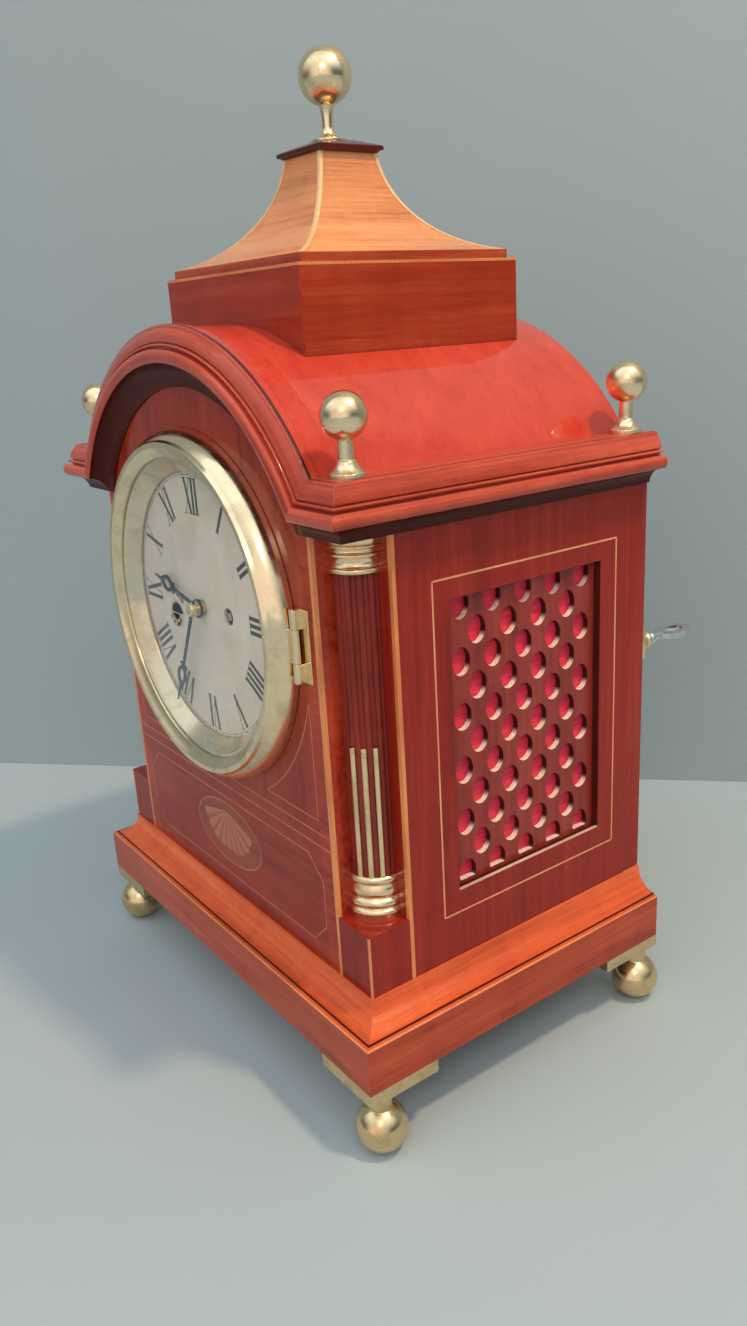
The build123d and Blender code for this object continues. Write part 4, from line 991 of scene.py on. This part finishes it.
# Finials: five turned brass balls on waisted stems, one screwed into the cap and four into the
# corners of the cornice. They are polished like the brasses of the columns.

dress(pale_brass, "top_finial", "corner_finials")


# Back door: a mahogany frame with a pane of glass in a groove, brass butt hinges on its left and a
# brass lock with its escutcheon, bolt, staple and steel key on the right.

GLASS_IOR = 1.45
GLASS_SHADOW = (0.95, 0.96, 0.95, 1)
RIPPLE_DEEP = 0.00002
FILING_DEEP = 0.000003


def show_through(tree, shader, share):
    """Lets light pass straight through the shader's surface where the share is 1."""
    clear = tree.nodes.new("ShaderNodeBsdfTransparent")
    mix = tree.nodes.new("ShaderNodeMixShader")
    for socket, value in zip(mix.inputs, (share, shader.outputs[0], clear.outputs[0])):
        tree.links.new(value, socket)
    tree.links.new(mix.outputs[0], tree.nodes["Material Output"].inputs["Surface"])
    return clear


def clear_glass(name, colour):
    """Clear glass with faint ripple, that lets lamp light through to what is behind it."""
    material, tree, shader, place = new_material(name)
    finish = {
        "Base Color": colour,
        "Transmission Weight": 1.0,
        "IOR": GLASS_IOR,
        "Roughness": rise(tree, noise(tree, place, 60), 0.45, 0.8, 0.0, 0.04),
    }
    feed_all(tree, shader, finish)
    raise_surface(tree, shader, noise(tree, place, 25, 2.0), RIPPLE_DEEP)
    shadow = tree.nodes.new("ShaderNodeLightPath").outputs["Is Shadow Ray"]
    show_through(tree, shader, shadow).inputs["Color"].default_value = GLASS_SHADOW
    return material


def steel(name, bright, dark, gloss):
    """Polished steel with fine filing marks and a little grey bloom."""
    material, tree, shader, place = new_material(name)
    bloom = noise(tree, place, 120, 5.0)
    marks = noise(tree, place, (3000, 300, 3000), 2.0)
    finish = {
        "Base Color": tint(tree, rise(tree, bloom, 0.35, 0.75), bright, dark),
        "Roughness": rise(tree, bloom, 0.3, 0.7, gloss, gloss + 0.18),
        "Metallic": 1.0,
    }
    feed_all(tree, shader, finish)
    raise_surface(tree, shader, marks, FILING_DEEP)
    return material


bright_steel = steel("bright_steel", (0.72, 0.72, 0.73, 1), (0.48, 0.48, 0.50, 1), gloss=0.18)
dress(panel_mahogany, "back_door")
dress(clear_glass("clear_pane", (0.97, 0.99, 0.98, 1)), "door_glass")
dress(pale_brass, "case_hinge_leaves", "door_hinge_leaves")
dress(pale_brass, "door_lock", "lock_bolt", "lock_staple", "lock_escutcheon")
dress(bright_steel, "door_key")


# Movement: two satin brass plates on a seat board, with brass wheels and barrels, steel chains,
# anchor and hammer, a brass pendulum and a bright turned bell.

MOVEMENT_BRASS = ((0.74, 0.55, 0.26, 1), (0.36, 0.23, 0.09, 1))
BELL_METAL = ((0.70, 0.56, 0.34, 1), (0.34, 0.24, 0.12, 1))

movement_brass = brass("movement_brass", *MOVEMENT_BRASS, age=0.4, gloss=0.26, edge=0.0004)
bell_metal = brass("bell_metal", *BELL_METAL, age=0.5, gloss=0.14, edge=0.0005)
dress(plain_wood, "seat_board")
dress(movement_brass, "front_plate", "back_plate", "movement_pillars")
dress(movement_brass, "going_fusee", "going_barrel", "strike_fusee", "strike_barrel")
dress(movement_brass, "centre_wheel", "third_wheel", "escape_wheel", "pendulum", "pendulum_cock")
dress(movement_brass, "cannon_pinion", "minute_wheel", "hour_wheel", "pin_wheel")
dress(bright_steel, "fusee_chains", "pallet_anchor", "bell_stand", "hammer")
dress(bell_metal, "bell")


# Dial: a brass disc with a fine silvered grain turned in rings. Plain Roman hours and the minute
# ring are engraved and filled with black wax.

DIAL_FACE_Y = -0.1189
HOUR_R = 0.0635
HOUR_TALL = 0.0200
THICK = 0.0023
THIN = 0.0006
SERIF = 0.0005
SERIF_HALF = 0.0019
MINUTE_RINGS = (0.0752, 0.0768)
RING_HALF = 0.00012
RING_STEPS = 120
FIVE_MINUTE_MARK = 0.0007
MINUTE_MARK = 0.0003
WAX_LIFT = 0.00004
HOURS = ["XII", "I", "II", "III", "IIII", "V", "VI", "VII", "VIII", "IX", "X", "XI"]
LETTER_WIDE = {"I": 0.0040, "V": 0.0076, "X": 0.0078}
SILVERS = ((0.96, 0.80, 0.66, 1), (0.80, 0.65, 0.53, 1))
WAXES = ((0.010, 0.010, 0.011, 1), (0.045, 0.042, 0.040, 1))
RING_GRAIN_R = 0.004
SILVER_DEEP = 0.000006
WAX_DEEP = 0.00001


def silvering():
    material, tree, shader, place = new_material("silvering")
    x, _, z = axes(tree, place)
    up, radius = from_dial_middle(tree, x, z)
    along = calc(tree, "MULTIPLY", calc(tree, "ARCTAN2", x, up), RING_GRAIN_R)
    turned = noise(tree, joined(tree, radius, along), (4200, 60, 1), 3.0)
    bloom = noise(tree, place, 26, 5.0, 0.8)
    tone = calc(tree, "MULTIPLY_ADD", turned, 0.25, bloom)
    finish = {
        "Base Color": tint(tree, rise(tree, tone, 0.45, 0.85), *SILVERS),
        "Roughness": rise(tree, tone, 0.4, 0.9, 0.42, 0.58),
        "Metallic": 0.15,
    }
    feed_all(tree, shader, finish)
    raise_surface(tree, shader, turned, SILVER_DEEP)
    return material


def black_wax():
    material, tree, shader, place = new_material("black_wax")
    worn = noise(tree, place, 1200)
    colour = tint(tree, rise(tree, worn, 0.45, 0.75), *WAXES)
    roughness = rise(tree, worn, 0.3, 0.7, 0.35, 0.6)
    feed_all(tree, shader, {"Base Color": colour, "Roughness": roughness})
    raise_surface(tree, shader, worn, WAX_DEEP)
    return material


def stroke(bm, a, b, width):
    """Stroke of a numeral in the dial's plane, with X across and Z towards the rim."""
    strip(bm, (a[0], 0, a[1]), (b[0], 0, b[1]), (0, -1, 0), width, WAX_LIFT)


def numeral(bm, word):
    """Roman hour with its middle on X = 0 and Z = 0."""
    half = HOUR_TALL / 2
    pen = -sum(LETTER_WIDE[letter] for letter in word) / 2
    for letter in word:
        middle, right = pen + LETTER_WIDE[letter] / 2, pen + LETTER_WIDE[letter]
        thick_top, thin_top = (pen + THICK / 2, half), (right - THIN, half)
        if letter == "I":
            serifs = [(middle, half), (middle, -half)]
            stroke(bm, (middle, -half), (middle, half), THICK)
        elif letter == "V":
            serifs = [thick_top, thin_top]
            stroke(bm, thick_top, (middle, -half), THICK)
            stroke(bm, thin_top, (middle, -half), THIN)
        else:
            thick_foot, thin_foot = (right - THICK / 2, -half), (pen + THIN, -half)
            serifs = [thick_top, thin_top, thin_foot, thick_foot]
            stroke(bm, thick_top, thick_foot, THICK)
            stroke(bm, thin_top, thin_foot, THIN)
        for x, z in serifs:
            stroke(bm, (x - SERIF_HALF, z), (x + SERIF_HALF, z), SERIF)
        pen = right


dial_wax = black_wax()
dress(silvering(), "dial")
hours = bmesh.new()
for number, word in enumerate(HOURS):
    done = len(hours.verts)
    numeral(hours, word)
    turn = Matrix.Rotation(math.radians(30 * number), 4, "Y")
    place = Matrix.Translation((0, DIAL_FACE_Y, DIAL_Z)) @ turn
    place = place @ Matrix.Translation((0, 0, HOUR_R))
    hours.verts.ensure_lookup_table()
    bmesh.ops.transform(hours, matrix=place, verts=hours.verts[done:])
keep("dial_hours", hours, dial_wax, "case")

track = bmesh.new()
for radius in MINUTE_RINGS:
    section = ring_section(track, radius, RING_HALF, WAX_LIFT)
    swept(track, [section], -2 * math.pi, RING_STEPS, closed=True)
for minute in range(60):
    turn = math.radians(6 * minute)
    wide = FIVE_MINUTE_MARK if minute % 5 == 0 else MINUTE_MARK
    low, high = ((r * math.sin(turn), r * math.cos(turn)) for r in MINUTE_RINGS)
    stroke(track, low, high, wide)
bmesh.ops.translate(track, vec=(0, DIAL_FACE_Y, DIAL_Z), verts=track.verts)
keep("dial_minutes", track, dial_wax, "case")


# Hands: pierced steel, polished and blued almost to black. The minute hand is held by a domed
# brass collet.

COLLET_R = 0.0044
COLLET_BRASS = ((0.78, 0.60, 0.32, 1), (0.34, 0.22, 0.10, 1))
BLUES = ((0.012, 0.013, 0.030, 1), (0.035, 0.030, 0.050, 1))


def blued_hand():
    material, tree, shader, place = new_material("blued_hand")
    x, _, z = axes(tree, place)
    _, radius = from_dial_middle(tree, x, z)
    collet = calc(tree, "LESS_THAN", radius, COLLET_R)
    bloom = noise(tree, place, 260)
    blue = tint(tree, rise(tree, bloom, 0.35, 0.7), *BLUES)
    bright, tarnish = COLLET_BRASS
    gold = use_group(tree, brass_age, Vector=place, Bright=bright, Tarnish=tarnish, Age=0.5)
    finish = {
        "Base Color": tint(tree, collet, blue, gold["Color"]),
        "Roughness": rise(tree, bloom, 0.3, 0.7, 0.2, 0.36),
        "Metallic": 0.9,
    }
    feed_all(tree, shader, finish)
    raise_surface(tree, shader, gold["Scratch"], FILING_DEEP)
    return material


dress(blued_hand(), "hour_hand", "minute_hand")


# Bezel: a cast and turned brass ring with a domed glass, hung on a hinge at the right so that the
# hands can be set.

BEZEL_BRASS = ((0.95, 0.73, 0.47, 1), (0.56, 0.39, 0.21, 1))

dress(brass("bezel_brass", *BEZEL_BRASS, age=0.4, gloss=0.12), "bezel", "bezel_hinge")
dress(clear_glass("domed_glass", (0.98, 0.99, 0.98, 1)), "bezel_glass")


# Setting: a pale blue-grey table before a plain wall, a warm lamp high on the right, a weaker one
# high in front, a pale ceiling and front of the room, and the camera at the photograph's place.

TABLE_HALF = 6.0
TABLE_PAINT = (0.43, 0.49, 0.51, 1)
WALL_PAINT = (0.335, 0.40, 0.42, 1)
WALL_POINT = Vector((-0.2586, 0.1411, 0))
WALL_ALONG = Vector((0.7322, 0.6811, 0))
UPRIGHT = Vector((0, 0, 1))
CLOCK_MIDDLE = Vector((0, 0, 0.25))
DIM_ROOM = (0.12, 0.14, 0.15, 1)
CEILING = (1.15, 1.32, 1.42, 1)
ROOM_FRONT = (1.0, 0.95, 0.90, 1)
ROOM_FRONT_WAY = (0.60, -0.80, 0.0)
CAMERA_PLACE = Vector((0.5225, -0.3742, 0.4202))
CAMERA_RIGHT = Vector((0.5936, 0.8027, -0.0569))
CAMERA_UP = Vector((-0.2206, 0.2302, 0.9479))
LENS_MM = 28.06
SENSOR_MM = 36.0


def painted(name, colour, strength):
    """Matt paint with patches of that strength, seen only from its front."""
    material, tree, shader, place = new_material(name)
    deeper = tuple(strength * c for c in colour[:3]) + (1,)
    patch = tint(tree, rise(tree, noise(tree, place, 3), 0.3, 0.7), colour, deeper)
    feed_all(tree, shader, {"Base Color": patch, "Roughness": 0.75})
    show_through(tree, shader, tree.nodes.new("ShaderNodeNewGeometry").outputs["Backfacing"])
    return material


def plane(name, matrix, material):
    """Broad flat sheet of the setting."""
    bm = bmesh.new()
    bmesh.ops.create_grid(bm, x_segments=1, y_segments=1, size=TABLE_HALF, matrix=matrix)
    sheet = new_object(name, bm, material)


def turned_to(right, up):
    """Turn that takes X to the right and Y up."""
    return Matrix((right, up, right.cross(up))).transposed().to_4x4()


def lamp(name, place, size, watts, colour):
    """Round soft lamp turned towards the clock."""
    data = bpy.data.lights.new(name, "AREA")
    data.shape = "DISK"
    data.size = size
    data.energy = watts
    data.color = colour
    lamp_object = bpy.data.objects.new(name, data)
    lamp_object.location = place
    aim = CLOCK_MIDDLE - Vector(place)
    lamp_object.rotation_euler = aim.to_track_quat("-Z", "Y").to_euler()
    bpy.context.scene.collection.objects.link(lamp_object)


plane("table_top", Matrix.Identity(4), painted("table_paint", TABLE_PAINT, 0.97))
wall_place = Matrix.Translation(WALL_POINT) @ turned_to(WALL_ALONG, UPRIGHT)
plane("wall", wall_place, painted("wall_paint", WALL_PAINT, 0.96))
lamp("key_lamp", (0.81, 0.23, 1.84), size=0.14, watts=15, colour=(1.0, 0.76, 0.46))
lamp("front_lamp", (1.2, -1.1, 1.41), size=0.40, watts=3.5, colour=(1.0, 0.94, 0.86))

world = bpy.data.worlds.new("room")
world.use_nodes = True
sky = world.node_tree
direction = sky.nodes.new("ShaderNodeTexCoord").outputs["Generated"]
overhead = tint(sky, rise(sky, axes(sky, direction)[2], 0.1, 0.8), DIM_ROOM, CEILING)
facing = vector_calc(sky, "DOT_PRODUCT", direction, ROOM_FRONT_WAY)["Value"]
room = tint(sky, rise(sky, facing, 0.5, 0.98), overhead, ROOM_FRONT)
feed_all(sky, sky.nodes["Background"], {"Color": room, "Strength": 1.0})
bpy.context.scene.world = world
bpy.context.scene.view_settings.view_transform = "Standard"

camera_data = bpy.data.cameras.new("camera")
camera_data.sensor_width = SENSOR_MM
camera_data.lens = LENS_MM
camera_data.clip_start = 0.01
camera = bpy.data.objects.new("camera", camera_data)
camera.matrix_world = Matrix.Translation(CAMERA_PLACE) @ turned_to(CAMERA_RIGHT, CAMERA_UP)
bpy.context.scene.collection.objects.link(camera)
bpy.context.scene.camera = camera

bpy.context.view_layer.update()
